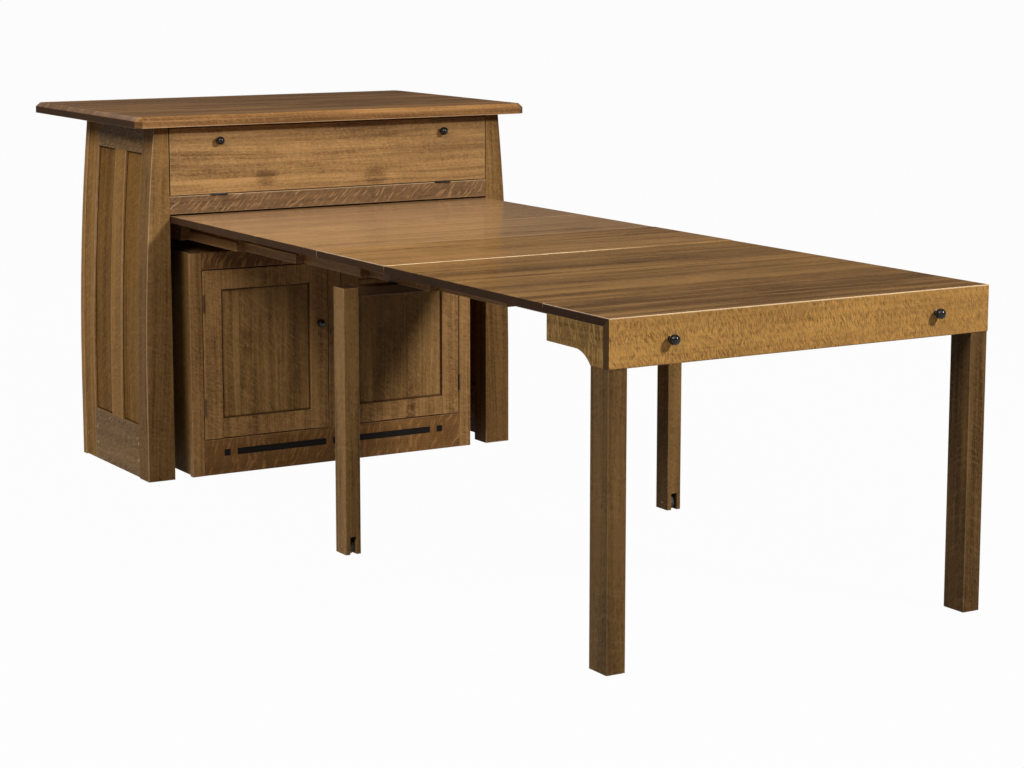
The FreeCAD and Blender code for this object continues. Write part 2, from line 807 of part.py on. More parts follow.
def make_knob(label, across, face, height):
    """A ball knob on a short neck and a thin round base, turned about its own axis."""
    body = new_body(label)
    sketch = new_sketch(body, label + "_profile", "XY_Plane", height)
    base = S.knob_base_radius
    neck = S.knob_neck_radius
    ball = S.ball_diameter / 2
    tip = face - knob_reach
    ball_start = face - knob_centre + (ball * ball - neck * neck).root()
    step = face - S.knob_base_thickness
    draw_outline(sketch, [
        (across, face), (across, tip, ball), (across + neck, ball_start), (across + neck, step),
        (across + base, step), (across + base, face)])
    axis = sketch.addGeometry(
        Part.LineSegment(FreeCAD.Vector(across.value, face.value, 0),
                         FreeCAD.Vector(across.value, tip.value, 0)), True)
    sketch.addConstraint(Sketcher.Constraint("Coincident", axis, 1, 0, 1))
    sketch.addConstraint(Sketcher.Constraint("Coincident", axis, 2, 1, 1))
    turn = body.newObject("PartDesign::Revolution", label + "_turn")
    turn.Profile = sketch
    turn.ReferenceAxis = (sketch, ["Axis0"])
    turn.Angle = 360
    return body


def make_drop_front():
    """Wide front board that hinges down on the middle rail."""
    side = half_opening - S.drop_front_side_gap
    front = board_along_x("drop_front", -side, side, ZERO, S.door_thickness,
                          drop_front_bottom, drop_front_top)
    knob = make_knob("drop_front_knob", half_opening - S.drop_knob_inset, ZERO,
                     drop_front_top - (drop_front_top - drop_front_bottom) * S.drop_knob_share)
    return [front, pair("drop_front_knobs", knob)]


def hinge_cylinder(body, plane, across, along, radius, hole, span):
    """A round rod or tube whose axis crosses the plane at a given point."""
    start, end = span
    name = "%s_round%d" % (body.Label, len(body.Group))
    sketch = new_sketch(body, name + "_sketch", plane, start)
    centre = FreeCAD.Vector(across.value, along.value, 0)
    circles = [radius, hole] if hole else [radius]
    for index, size in enumerate(circles):
        sketch.addGeometry(Part.Circle(centre, FreeCAD.Vector(0, 0, 1), size.value), False)
        hold(sketch, "DistanceX", -2, index, 3, across)
        hold(sketch, "DistanceY", -1, index, 3, along)
        bind(sketch, sketch.addConstraint(Sketcher.Constraint("Radius", index, size.value)), size)
    pad = body.newObject("PartDesign::Pad", name)
    pad.Profile = sketch
    pad.setExpression("Length", (end - start).text)


def knuckle_spans(start):
    """Three knuckles along a hinge: the outer two fixed, the middle one moving."""
    third = S.hinge_length / 3
    first = (start, start + third)
    second = (start + third + S.hinge_play, start + third * 2 - S.hinge_play)
    last = (start + third * 2, start + S.hinge_length)
    return first, second, last


def make_hinge(name, plane, axis_first, axis_second, start, fixed_leaf, moving_leaf):
    """A butt hinge: a fixed leaf with two knuckles and the pin, and a moving leaf with one."""
    first, second, last = knuckle_spans(start)
    fixed = new_body(name + "_fixed")
    for span in (first, last):
        add(fixed, plane, fixed_leaf, *span)
        hinge_cylinder(fixed, plane, axis_first, axis_second, S.hinge_radius, None, span)
    pin = (start, start + S.hinge_length)
    hinge_cylinder(fixed, plane, axis_first, axis_second, S.hinge_pin_radius, None, pin)
    moving = new_body(name + "_moving")
    add(moving, plane, moving_leaf, *second)
    bore = S.hinge_pin_radius + S.hinge_pin_play
    hinge_cylinder(moving, plane, axis_first, axis_second, S.hinge_radius, bore, second)
    return fixed, moving


def make_fittings():
    """Slim butt hinges of the doors and of the drop front, and the doors' knobs."""
    axis_y = -(S.hinge_radius + S.hinge_stand_off)
    leaf_start = axis_y + (S.hinge_radius + S.hinge_pin_radius) / 2
    leaf_back = S.hinge_leaf_depth
    middle = door_opening_outer - S.door_gap / 2
    fixed_leaf = rectangle(door_opening_outer - S.hinge_leaf, door_opening_outer, leaf_start, leaf_back)
    moving_edge = door_opening_outer - S.door_gap
    moving_leaf = rectangle(moving_edge, moving_edge + S.hinge_leaf, leaf_start, leaf_back)
    left, _, bottom, top = door_limits()
    knob = make_knob("door_knob", left + S.door_stile / 2, ZERO, top - S.door_knob_drop)
    fixed_parts = []
    moving_parts = [knob]
    starts = (bottom + S.door_hinge_inset, top - S.door_hinge_inset - S.hinge_length)
    for index, start in enumerate(starts):
        fixed, moving = make_hinge("door_hinge_%d" % index, "XY_Plane", middle, axis_y, start,
                                   fixed_leaf, moving_leaf)
        fixed_parts.append(fixed)
        moving_parts.append(moving)
    right = group("door_fittings_right", moving_parts)

    rail_top = middle_rail_top
    centre = rail_top + S.drop_front_gap / 2
    thickness = S.drop_front_gap / 2 - S.fit_gap
    fixed_leaf = rectangle(leaf_start, leaf_back, rail_top, rail_top + thickness)
    moving_leaf = rectangle(leaf_start, leaf_back, rail_top + S.drop_front_gap - thickness,
                            rail_top + S.drop_front_gap)
    fixed, moving = make_hinge("drop_hinge", "YZ_Plane", axis_y, centre,
                               half_opening - S.drop_hinge_inset - S.hinge_length / 2,
                               fixed_leaf, moving_leaf)
    fixed_parts.append(fixed)
    return [pair("hinge_fixed_leaves", group("hinge_fixed_right", fixed_parts)), right,
            mirrored("door_fittings_left", right), pair("drop_front_hinge_leaves", moving)]


def make_mid_legs():
    """Rolling legs under the middle of the table, with their cross rail, axles and wheels."""
    outer = half_table - S.mid_leg_inset
    inner = outer - S.mid_leg_width
    centre = slide_front(MID_STAGE) + S.mid_leg_setback
    top = slide_bottom - S.mid_leg_drop
    front = centre - S.mid_leg_depth / 2
    back = centre + S.mid_leg_depth / 2
    middle = (outer + inner) / 2
    leg = board_along_z("mid_leg", inner, outer, front, back, S.mid_leg_foot, top)
    half_slot = S.wheel_width / 2 + S.wheel_gap
    cut(leg, "XZ_Plane", rectangle(middle - half_slot, middle + half_slot, S.mid_leg_foot, S.slot_height),
        front, back)
    axle_height = S.wheel_diameter / 2
    bore = S.axle_radius + S.axle_play
    drill = new_sketch(leg, "mid_leg_bore_sketch", "YZ_Plane", outer)
    drill.addGeometry(Part.Circle(FreeCAD.Vector(centre.value, axle_height.value, 0),
                                  FreeCAD.Vector(0, 0, 1), bore.value), False)
    hold(drill, "DistanceX", -2, 0, 3, centre)
    hold(drill, "DistanceY", -1, 0, 3, axle_height)
    bind(drill, drill.addConstraint(Sketcher.Constraint("Radius", 0, bore.value)), bore)
    hole = leg.newObject("PartDesign::Pocket", "mid_leg_bore")
    hole.Profile = drill
    hole.setExpression("Length", S.mid_leg_width.text)

    axle = new_body("mid_leg_axle")
    hinge_cylinder(axle, "YZ_Plane", centre, axle_height, S.axle_radius, None,
                   (inner + S.axle_head_gap, outer - S.axle_head_gap))

    rail_bottom = top - S.mid_rail_height
    rail = board_along_x("mid_cross_rail", -inner, inner, centre - S.mid_rail_depth / 2,
                         centre + S.mid_rail_depth / 2, rail_bottom, top)
    seat_outer = slide_outer - slide_pitch * MID_STAGE
    for left, right in ((seat_outer - S.slide_thickness, seat_outer),
                        (-seat_outer, -(seat_outer - S.slide_thickness))):
        add(rail, "YZ_Plane", rectangle(centre - S.mid_rail_depth / 2 + S.edge_ease,
                                        centre + S.mid_rail_depth / 2 - S.edge_ease,
                                        rail_bottom + S.edge_ease, slide_bottom), left, right)

    wheel = new_body("wheel_right")
    sketch = new_sketch(wheel, "wheel_profile", "XY_Plane", axle_height)
    radius = S.wheel_diameter / 2
    bore = S.axle_radius + S.axle_play
    near = middle - S.wheel_width / 2
    far = middle + S.wheel_width / 2
    ease = S.wheel_ease
    draw_outline(sketch, [
        (near, centre - bore), (near, centre - radius + ease), (near + ease, centre - radius),
        (far - ease, centre - radius), (far, centre - radius + ease), (far, centre - bore)])
    axis = sketch.addGeometry(
        Part.LineSegment(FreeCAD.Vector(near.value, centre.value, 0),
                         FreeCAD.Vector(far.value, centre.value, 0)), True)
    hold(sketch, "DistanceX", -2, axis, 1, near)
    hold(sketch, "DistanceY", -1, axis, 1, centre)
    hold(sketch, "DistanceX", -2, axis, 2, far)
    hold(sketch, "DistanceY", -1, axis, 2, centre)
    turn = wheel.newObject("PartDesign::Revolution", "wheel_turn")
    turn.Profile = sketch
    turn.ReferenceAxis = (sketch, ["Axis0"])
    turn.Angle = 360
    return [pair("mid_legs", leg), rail, pair("mid_leg_axles", axle), wheel,
            mirrored("wheel_left", wheel)]


def make_table_end():
    """End of the table: mitred top and apron, shaped skirts, two legs and two knobs."""
    under = S.table_height - S.table_top_thickness
    apron_back = table_front + S.apron_thickness
    apron_bottom = S.table_height - S.apron_height
    top = new_body("end_top")
    add(top, "YZ_Plane", [
        (table_front, S.table_height), (apron_back, under), (end_back, under),
        (end_back, S.table_height - S.leaf_ease), (end_back - S.leaf_ease, S.table_height)],
        -half_table, half_table)
    apron = new_body("end_apron")
    add(apron, "YZ_Plane", [
        (table_front, apron_bottom + S.edge_ease), (table_front + S.edge_ease, apron_bottom),
        (apron_back, apron_bottom), (apron_back, under), (table_front, S.table_height)],
        -half_table, half_table)

    leg_back = table_front + S.leg_depth
    skirt_bottom = S.table_height - S.skirt_height
    skirt_back = apron_back + S.skirt_length
    bend = skirt_back - S.skirt_flat
    drop = skirt_bottom - apron_bottom
    run = bend - leg_back
    bend_radius = (run * run + drop * drop) / (drop * 2)
    skirt = new_body("end_skirt")
    add(skirt, "YZ_Plane", [
        (apron_back, apron_bottom), (leg_back, apron_bottom, -bend_radius), (bend, skirt_bottom),
        (skirt_back, skirt_bottom), (skirt_back, under), (apron_back, under)],
        half_table - S.skirt_thickness, half_table)

    leg = board_along_z("end_leg", half_table - S.leg_width, half_table,
                        table_front + S.leg_setback, leg_back, ZERO, apron_bottom)
    add(leg, "XY_Plane", rectangle(half_table - S.leg_width, half_table - S.skirt_thickness,
                                   apron_back, leg_back - S.edge_ease),
        apron_bottom, under)
    knob = make_knob("end_knob", half_table - S.end_knob_inset, table_front,
                     S.table_height - S.apron_height / 2)
    return [top, apron, pair("end_skirts", skirt), pair("end_legs", leg), pair("end_knobs", knob)]


def make_leaves():
    """Loose leaves laid across the slides, with eased edges where they meet."""
    under = S.table_height - S.table_top_thickness
    top = S.table_height
    ease = S.leaf_ease
    leaves = []
    for index in range(LEAF_COUNT):
        front = end_back + leaf_width * index + S.leaf_gap
        back = end_back + leaf_width * (index + 1)
        leaf = new_body("leaf_%d" % (index + 1))
        add(leaf, "YZ_Plane", [
            (front, under), (back, under), (back, top - ease), (back - ease, top),
            (front + ease, top), (front, top - ease)], -half_table, half_table)
        leaves.append(leaf)
    return leaves


def check_document(nodes):
    """Stop if a feature failed, a pocket cut nothing or a sub-part has no valid solid."""
    for item in doc.Objects:
        if "Invalid" in item.State or "Error" in item.State:
            raise RuntimeError("%s is in state %s" % (item.Label, item.State))
        if item.TypeId == "PartDesign::Pocket":
            if not item.Shape.Volume < item.BaseFeature.Shape.Volume:
                raise RuntimeError("%s cuts nothing" % item.Label)
    for node in nodes:
        if node.Shape.isNull() or not node.Shape.isValid() or not node.Shape.Solids:
            raise RuntimeError("%s has no valid solid" % node.Label)


def build():
    """Make every sub-part, check the document and write one file per sub-part."""
    makers = (
        make_island_top, make_posts, make_side_rails, make_side_stiles, make_side_panels,
        make_back, make_middle_rail, make_compartment, make_slides, make_cupboard_face,
        make_cupboard_box, make_door, make_drop_front, make_fittings, make_mid_legs,
        make_table_end, make_leaves)
    nodes = [node for maker in makers for node in maker()]
    doc.recompute()
    check_document(nodes)
    os.makedirs("parts", exist_ok=True)
    for node in nodes:
        node.Shape.exportStep(os.path.join("parts", node.Label + ".step"))
        print(node.Label, len(node.Shape.Solids), round(node.Shape.Volume / 1000))
    print(len(nodes), "sub-parts")


build()
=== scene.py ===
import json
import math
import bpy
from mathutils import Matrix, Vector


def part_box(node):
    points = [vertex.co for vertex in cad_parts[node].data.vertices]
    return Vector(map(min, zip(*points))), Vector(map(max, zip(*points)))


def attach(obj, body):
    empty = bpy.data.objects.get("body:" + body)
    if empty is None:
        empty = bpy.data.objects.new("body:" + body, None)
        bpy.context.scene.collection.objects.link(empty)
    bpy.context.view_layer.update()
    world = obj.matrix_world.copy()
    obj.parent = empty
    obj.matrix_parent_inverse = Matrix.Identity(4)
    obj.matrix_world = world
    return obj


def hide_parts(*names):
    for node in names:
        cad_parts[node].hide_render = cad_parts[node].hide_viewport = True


bl_info = {
    "name": "Kitchen island",
    "version": (1, 0, 0),
    "blender": (4, 5, 0),
    "location": "View3D > Sidebar > Island",
    "description": "Dresses the kitchen island and its extension table in quartersawn oak",
    "category": "Object",
}

from types import SimpleNamespace

import bmesh
import bpy
import numpy as np
from bpy.props import FloatProperty, FloatVectorProperty, PointerProperty
from mathutils import Matrix, Vector

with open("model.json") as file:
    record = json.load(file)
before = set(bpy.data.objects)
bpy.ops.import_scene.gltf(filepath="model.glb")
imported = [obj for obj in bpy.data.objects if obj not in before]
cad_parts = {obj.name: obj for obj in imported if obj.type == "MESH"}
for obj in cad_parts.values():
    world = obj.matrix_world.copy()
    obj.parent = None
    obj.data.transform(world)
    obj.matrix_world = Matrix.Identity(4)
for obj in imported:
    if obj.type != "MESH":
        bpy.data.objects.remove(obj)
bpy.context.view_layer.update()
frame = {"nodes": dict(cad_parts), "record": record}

# The camera was fitted to the photograph, in metres and radians, from the cabinet's front plane
IMAGE_WIDTH = 1024
IMAGE_HEIGHT = 768
FOCAL_PIXELS = 2477.3
CENTRE_ROW = 330.0
CAMERA_PLACE = (-3.2797, -6.4905, 1.5222)
CAMERA_YAW = 0.5401
CAMERA_PITCH = -0.1541
CAMERA_ROLL = 0.0004
SENSOR_WIDTH = 36.0

CABINET_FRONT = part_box("middle_rail")[0].y

# Bowed nodes of the cabinet's sides: their outer face leans in above this height
BOW_START = 0.250
BOW_INSET = 0.038
BOWED = ("post_front", "posts_back", "side_rails", "side_stiles", "side_panels")

# Wood nodes: their finish, and the width of the strips that a wide board is glued up from
CABINET_BOARDS = {
    "island_top": ("top", 0.105),
    "post_front_left": ("post", None), "post_front_right": ("post", None),
    "posts_back": ("side", None),
    "side_rails_left": ("side_rail", None), "side_rails_right": ("side_rail", None),
    "side_stiles_left": ("side", None), "side_stiles_right": ("side", None),
    "side_panels_left": ("side_panel", 0.085), "side_panels_right": ("side_panel", 0.085),
    "back_rails": ("side", None), "back_stile": ("side", None), "back_panels": ("side", 0.110),
    "middle_rail": ("rail", None), "drop_front": ("drop_front", 0.098),
    "compartment_floor": ("inside", 0.120), "compartment_sides": ("inside", 0.120),
    "cupboard_stiles": ("cupboard", None), "cupboard_rails": ("cupboard_rail", None),
    "cupboard_sides": ("side", 0.110), "cupboard_boards": ("inside", 0.120),
    "cupboard_back": ("inside", 0.200), "cupboard_inlay": ("inlay", None),
    "door_frame_left": ("cupboard", None), "door_frame_right": ("cupboard", None),
    "door_panel_left": ("door_panel", 0.120), "door_panel_right": ("door_panel", 0.120),
}
TABLE_BOARDS = {
    "end_top": ("table_end", 0.090), "end_apron": ("apron", None), "end_skirts": ("skirt", None),
    "end_legs": ("leg", None), "mid_legs": ("mid_leg", None), "mid_cross_rail": ("cross", None),
    "leaf_1": ("table", 0.090), "leaf_2": ("table", 0.075), "leaf_3": ("table_seam", 0.100),
    "leaf_4": ("table_mid", 0.085), "leaf_5": ("table_back", 0.095),
    "leaf_6": ("table_back", 0.080),
    "slide_blocks": ("slide", None),
    **{"slide_pair_%d" % number: ("slide", None) for number in range(8)},
}

# Settings that a finish of oak has unless it gives its own
OAK_DEFAULTS = {
    # Contrast of the grain, of its broad streaks alone, and strength of the pores
    "grain": 1.0, "broad": 1.0, "pore": 0.25,
    # Ray flecks: strength, what lying boards have besides, spacing in metres, lean against the
    # grain, sway, share that comes and goes, and thickening of the ribbons
    "flecks": 0.3, "rails": 0.0, "spacing": 0.007, "lean": 0.6, "sway": 0.04, "patchy": 0.8,
    "thick": 0.0,
    # Curly figure: strength and fineness
    "curl": 0.0, "fine": 1.0,
    # Dark stains, and knots as places along and across the board with their reach, in metres
    "stains": 0.0, "knots": (),
    # Paler edges, partly wear and partly painted highlight: strength, the axis that points up
    # where only upper edges get them, as painted highlight from above (1 for a board on edge, 2
    # for a lying one), and the stretch along the board over which they fade out
    "wear": 0.35, "upper": 0, "fade": None,
    # Darkening of the end grain, painted shade on a thick top's lower part, and the depth in
    # metres of the painted shade along a panel's grooves
    "ends": 0.9, "skin": 0.0, "corner": 0.0,
    # Roughness, weight of the clear coat, and specular level
    "rough": 0.46, "coat": 0.06, "gloss": 0.20,
}

# Each finish of oak: its mean colour, and where it differs from the settings above
OAK_FINISHES = {
    # The top: paler edges, partly painted highlight, and painted shade on its lower part
    "top": {"colour": (0.255, 0.123, 0.04), "grain": 1.05, "broad": 1.3, "flecks": 0.2,
            "wear": 0.55, "ends": 0.95, "skin": 0.18, "rough": 0.42, "coat": 0.6, "gloss": 0.1},
    "side": {"colour": (0.268, 0.139, 0.043), "grain": 0.7, "broad": 0.5, "flecks": 0.28,
             "curl": 0.4, "wear": 0.45, "coat": 0.0, "gloss": 0.01},
    "side_rail": {"colour": (0.158, 0.088, 0.035), "grain": 0.8, "flecks": 1.2, "spacing": 0.006,
                  "lean": 2.2, "sway": 0.07, "patchy": 0.4, "wear": 0.0, "coat": 0.0,
                  "gloss": 0.03},
    "post": {"colour": (0.153, 0.079, 0.026), "flecks": 0.22, "curl": 0.5, "wear": 0.5,
             "coat": 0.0, "gloss": 0.02},
    "rail": {"colour": (0.14, 0.073, 0.028), "grain": 0.8, "flecks": 1.15, "lean": -1.1,
             "sway": 0.05, "patchy": 0.45, "wear": 0.45, "coat": 0.0, "gloss": 0.15},
    "drop_front": {"colour": (0.236, 0.126, 0.043), "grain": 1.15, "broad": 0.75, "pore": 0.22,
                   "flecks": 0.08, "curl": 0.35, "fine": 0.6, "stains": 0.5,
                   "knots": ((0.14, -0.07, 0.05), (-0.215, -0.06, 0.042)), "wear": 0.15,
                   "coat": 0.0, "gloss": 0.15},
    "cupboard": {"colour": (0.273, 0.141, 0.048), "pore": 0.15, "flecks": 0.28, "rails": 0.6,
                 "curl": 0.8, "wear": 0.12, "coat": 0.0, "gloss": 0.1},
    "cupboard_rail": {"colour": (0.15, 0.069, 0.02), "grain": 0.6, "flecks": 1.45,
                      "spacing": 0.009, "lean": -0.3, "sway": 0.085, "patchy": 0.2, "wear": 0.1,
                      "coat": 0.0, "gloss": 0.1},
    "door_panel": {"colour": (0.25, 0.132, 0.043), "pore": 0.4, "flecks": 0.35, "stains": 0.25,
                   "wear": 0.1, "corner": 0.0105, "coat": 0.0, "gloss": 0.1},
    # The apron's pale upper edge is painted highlight
    "apron": {"colour": (0.232, 0.116, 0.028), "grain": 0.6, "broad": 1.1, "pore": 0.06,
              "flecks": 0.15, "spacing": 0.005, "curl": 2.5, "fine": 1.45, "stains": 0.12,
              "wear": 1.0, "upper": 1, "coat": 0.0, "gloss": 0.15},
    "skirt": {"colour": (0.108, 0.057, 0.015), "grain": 1.2, "flecks": 1.35, "spacing": 0.0044,
              "lean": -0.25, "sway": 0.05, "patchy": 0.1, "thick": 0.02, "wear": 0.0, "coat": 0.0,
              "gloss": 0.05},
    "leg": {"colour": (0.077, 0.04, 0.013), "grain": 1.4, "curl": 0.4, "wear": 0.1, "coat": 0.0,
            "gloss": 0.05},
    "table": {"colour": (0.198, 0.1, 0.029), "grain": 1.3, "broad": 1.2, "flecks": 0.2,
              "stains": 0.4, "wear": 0.0, "upper": 2, "ends": 0.97, "rough": 0.42, "coat": 0.6,
              "gloss": 0.1},
    # The end top's pale upper edges are painted highlight
    "table_end": {"colour": (0.16, 0.081, 0.025), "grain": 1.2, "broad": 1.6, "flecks": 0.2,
                  "stains": 0.5, "wear": 1.0, "upper": 2, "ends": 0.97, "rough": 0.42, "coat": 0.5,
                  "gloss": 0.1},
    # Painted light: paler oak, so that the slides look lit where they lie in the table's shade
    "slide": {"colour": (0.34, 0.174, 0.067), "grain": 0.9, "flecks": 0.2, "wear": 0.3,
              "ends": 0.25, "coat": 0.0, "gloss": 0.05},
    "inside": {"colour": (0.2, 0.105, 0.034), "flecks": 0.4},
    "side_panel": {"colour": (0.172, 0.085, 0.022), "grain": 0.75, "broad": 0.6, "flecks": 0.28,
                   "curl": 0.6, "corner": 0.0105, "coat": 0.0, "gloss": 0.01},
    # Painted shade: the cross rail's oak is darkened for the shade under the table
    "cross": {"colour": (0.07, 0.034, 0.014), "grain": 0.9, "flecks": 0.2, "wear": 0.1,
              "coat": 0.0, "gloss": 0.05},
    # Paler and bluer than the table's oak: painted reflection of the lit cabinet front in the
    # leaves nearest it
    "table_back": {"colour": (0.43, 0.24, 0.105), "grain": 0.55, "broad": 0.9, "flecks": 0.2,
                   "stains": 0.3, "wear": 0.0, "upper": 2, "ends": 0.97, "rough": 0.42,
                   "coat": 1.0, "gloss": 0.1},
    # The proud leaf: its pale edge line, fading along the board, is painted highlight
    "table_seam": {"colour": (0.29, 0.15, 0.049), "grain": 0.65, "broad": 1.2, "flecks": 0.2,
                   "stains": 0.4, "wear": 1.0, "upper": 2, "fade": (0.0, 0.35), "ends": 0.97,
                   "rough": 0.42, "coat": 0.6, "gloss": 0.1},
    # Paler and bluer than the table's oak: painted reflection of the lit cabinet front
    "table_mid": {"colour": (0.34, 0.187, 0.078), "grain": 0.6, "broad": 0.9, "flecks": 0.2,
                  "stains": 0.3, "wear": 0.0, "upper": 2, "ends": 0.97, "rough": 0.42, "coat": 0.8,
                  "gloss": 0.1},
    # Painted light: a paler copy of the legs' oak, for the light falling on the mid legs
    "mid_leg": {"colour": (0.163, 0.086, 0.028), "grain": 1.1, "curl": 0.4, "wear": 0.1,
                "coat": 0.0, "gloss": 0.05},
    "plug": {"colour": (0.3, 0.18, 0.08), "grain": 0.6, "flecks": 0.0},
}

# Tints of a finish's mean colour in its darkest and palest grain and on its end grain
DARK_GRAIN = (0.36, 0.31, 0.26)
PALE_GRAIN = (1.64, 1.69, 1.74)
END_GRAIN = (0.09, 0.07, 0.07)

# How much of the colour below a ray fleck of strength 1 covers
FLECK_COVER = 0.62

# The oak's relief: height in metres and strength; and the roughness of its clear coat
OAK_RELIEF = (0.0005, 0.35)
COAT_ROUGHNESS = 0.14

# The third value of face_place: how far a face is end grain. A face is a bevel when its normal
# turns this far to the board's length, and an end only when it turns that way most of all.
FACE, BEVEL, END = 0.0, 0.45, 1.0
BEVEL_TURN = (0.6, 0.8)
END_SHARE = 0.9

# The leaf that stands proud of the others, and by how much, in metres
PROUD_LEAF = "leaf_3"
PROUD_STEP = 0.0012

# Rounding of the boards that differ from the common edge radius, in metres
EDGE_RADII = {
    PROUD_LEAF: 0.0026, "leaf_1": 0.0003, "leaf_2": 0.0003, "leaf_4": 0.0003, "leaf_5": 0.0003,
    "leaf_6": 0.0003, "end_top": 0.0020, "island_top": 0.0010, "middle_rail": 0.0010,
    "post_front_left": 0.0022, "post_front_right": 0.0022, "posts_back": 0.0022,
}

# Distances in metres and angles in radians that clean, round and shade the meshes
MERGE_DISTANCE = 0.000002
FLAT_ANGLE = math.radians(0.05)
ROUNDED_ANGLE = math.radians(25)
SMOOTH_ANGLE = math.radians(40)

# Strip width of a board that isn't glued up: wider than any board, in metres
UNGLUED = 10.0

# Turned knobs, in metres: the base as (distance, radius), and where the ball meets its neck
KNOB_BASE = [(0.0, 0.0070), (0.0006, 0.0078), (0.0014, 0.0078), (0.0020, 0.0070), (0.0024, 0.0054)]
NECK_RADIUS = 0.0042
KNOB_TIP = 0.0004
BALL_STEPS = 18

# Faces around the turned pieces
KNOB_FACES = 40
WHEEL_FACES = 56
PLUG_FACES = 20

# The doors' knobs stand out from the fittings' front by more than this, and the drop front's
# hinges lie higher than this below the middle rail, in metres
KNOB_MARGIN = 0.0001
HINGE_MARGIN = 0.010

# Plugs in the side rails, in metres: their outline, heights, and distance from the rail's ends
PLUG_OUTLINE = [(-0.0012, 0.0048), (0.00025, 0.0048), (0.00045, 0.0042), (0.0005, 0.0004)]
PLUG_HEIGHTS = (0.050, 0.098)
PLUG_INSET = 0.024

# Stage: each lamp's place and size in metres and its setting, and what all of them face
LAMPS = {
    "key_lamp": ((2.3, -5.2, 3.9), 0.8, "key_power"),
    "fill_lamp": ((-4.6, -2.6, 4.6), 3.0, "fill_power"),
    "rim_lamp": ((-4.6, 3.2, 4.4), 3.0, "rim_power"),
    "back_lamp": ((-1.6, 5.4, 5.0), 4.0, "back_power"),
    "top_lamp": ((-1.4, -3.0, 4.6), 2.4, "top_power"),
}
LAMP_TARGET = (0.0, -0.2, 0.5)
FLOOR_REACH = 120.0
FLOOR_GREY = 0.20
FLOOR_WHITE = 0.975
WORLD_STRENGTH = 0.045
CAMERA_FAR = 400.0


def lamp_power(name, place, watts):
    """The setting for a lamp's power."""
    return FloatProperty(name=name, description="Power of the lamp " + place, default=watts,
                         unit="POWER")


class IslandSettings(bpy.types.PropertyGroup):
    """Sizes and colours of the island's looks"""

    edge_radius: FloatProperty(
        name="Edge radius", description="Rounding of the wooden edges",
        default=0.0007, unit="LENGTH")
    fleck: FloatVectorProperty(
        name="Ray fleck", description="How much paler the rays are than the oak they cross",
        default=(2.6, 2.8, 3.3), size=3, max=8.0)
    # Pale edge colour: oak with its stain rubbed off, and painted highlight where edges catch the
    # light
    worn_edge: FloatVectorProperty(
        name="Worn edge", description="Oak where the stain is rubbed off",
        default=(0.62, 0.44, 0.26), subtype="COLOR", size=3)
    ebony: FloatVectorProperty(
        name="Inlay", description="Near-black inlaid wood",
        default=(0.005, 0.004, 0.003), subtype="COLOR", size=3)
    bronze: FloatVectorProperty(
        name="Dark bronze", description="Lacquered knobs and hinges",
        default=(0.016, 0.013, 0.011), subtype="COLOR", size=3)
    old_brass: FloatVectorProperty(
        name="Old brass", description="Tarnished brass of the doors' hinges",
        default=(0.085, 0.046, 0.018), subtype="COLOR", size=3)
    key_power: lamp_power("Key lamp", "at the front right", 420.0)
    fill_power: lamp_power("Fill lamp", "at the left", 300.0)
    rim_power: lamp_power("Rim lamp", "at the back left", 110.0)
    back_power: lamp_power("Back lamp", "behind the cabinet", 110.0)
    top_power: lamp_power("Top lamp", "overhead", 60.0)


class Value:
    """A shader socket that takes part in Python sums."""

    def __init__(self, shader, socket):
        self.shader = shader
        self.socket = socket

    def calculate(self, operation, *others):
        return self.shader.node("ShaderNodeMath", {"operation": operation}, self, *others)

    def __add__(self, other):
        return self.calculate("ADD", other)

    def __sub__(self, other):
        return self.calculate("SUBTRACT", other)

    def __mul__(self, other):
        return self.calculate("MULTIPLY", other)

    def __truediv__(self, other):
        return self.calculate("DIVIDE", other)

    def __radd__(self, other):
        return self.calculate("ADD", other)

    def __rsub__(self, other):
        return self.shader.node("ShaderNodeMath", {"operation": "SUBTRACT"}, other, self)

    def __abs__(self):
        return self.calculate("ABSOLUTE")

    def floor(self):
        return self.calculate("FLOOR")

    def least(self, other):
        return self.calculate("MINIMUM", other)

    def most(self, other):
        return self.calculate("MAXIMUM", other)

    def step(self, low, high):
        """Rises smoothly from 0 at low to 1 at high."""
        settings = {"interpolation_type": "SMOOTHSTEP"}
        return self.shader.node("ShaderNodeMapRange", settings, self, low, high)


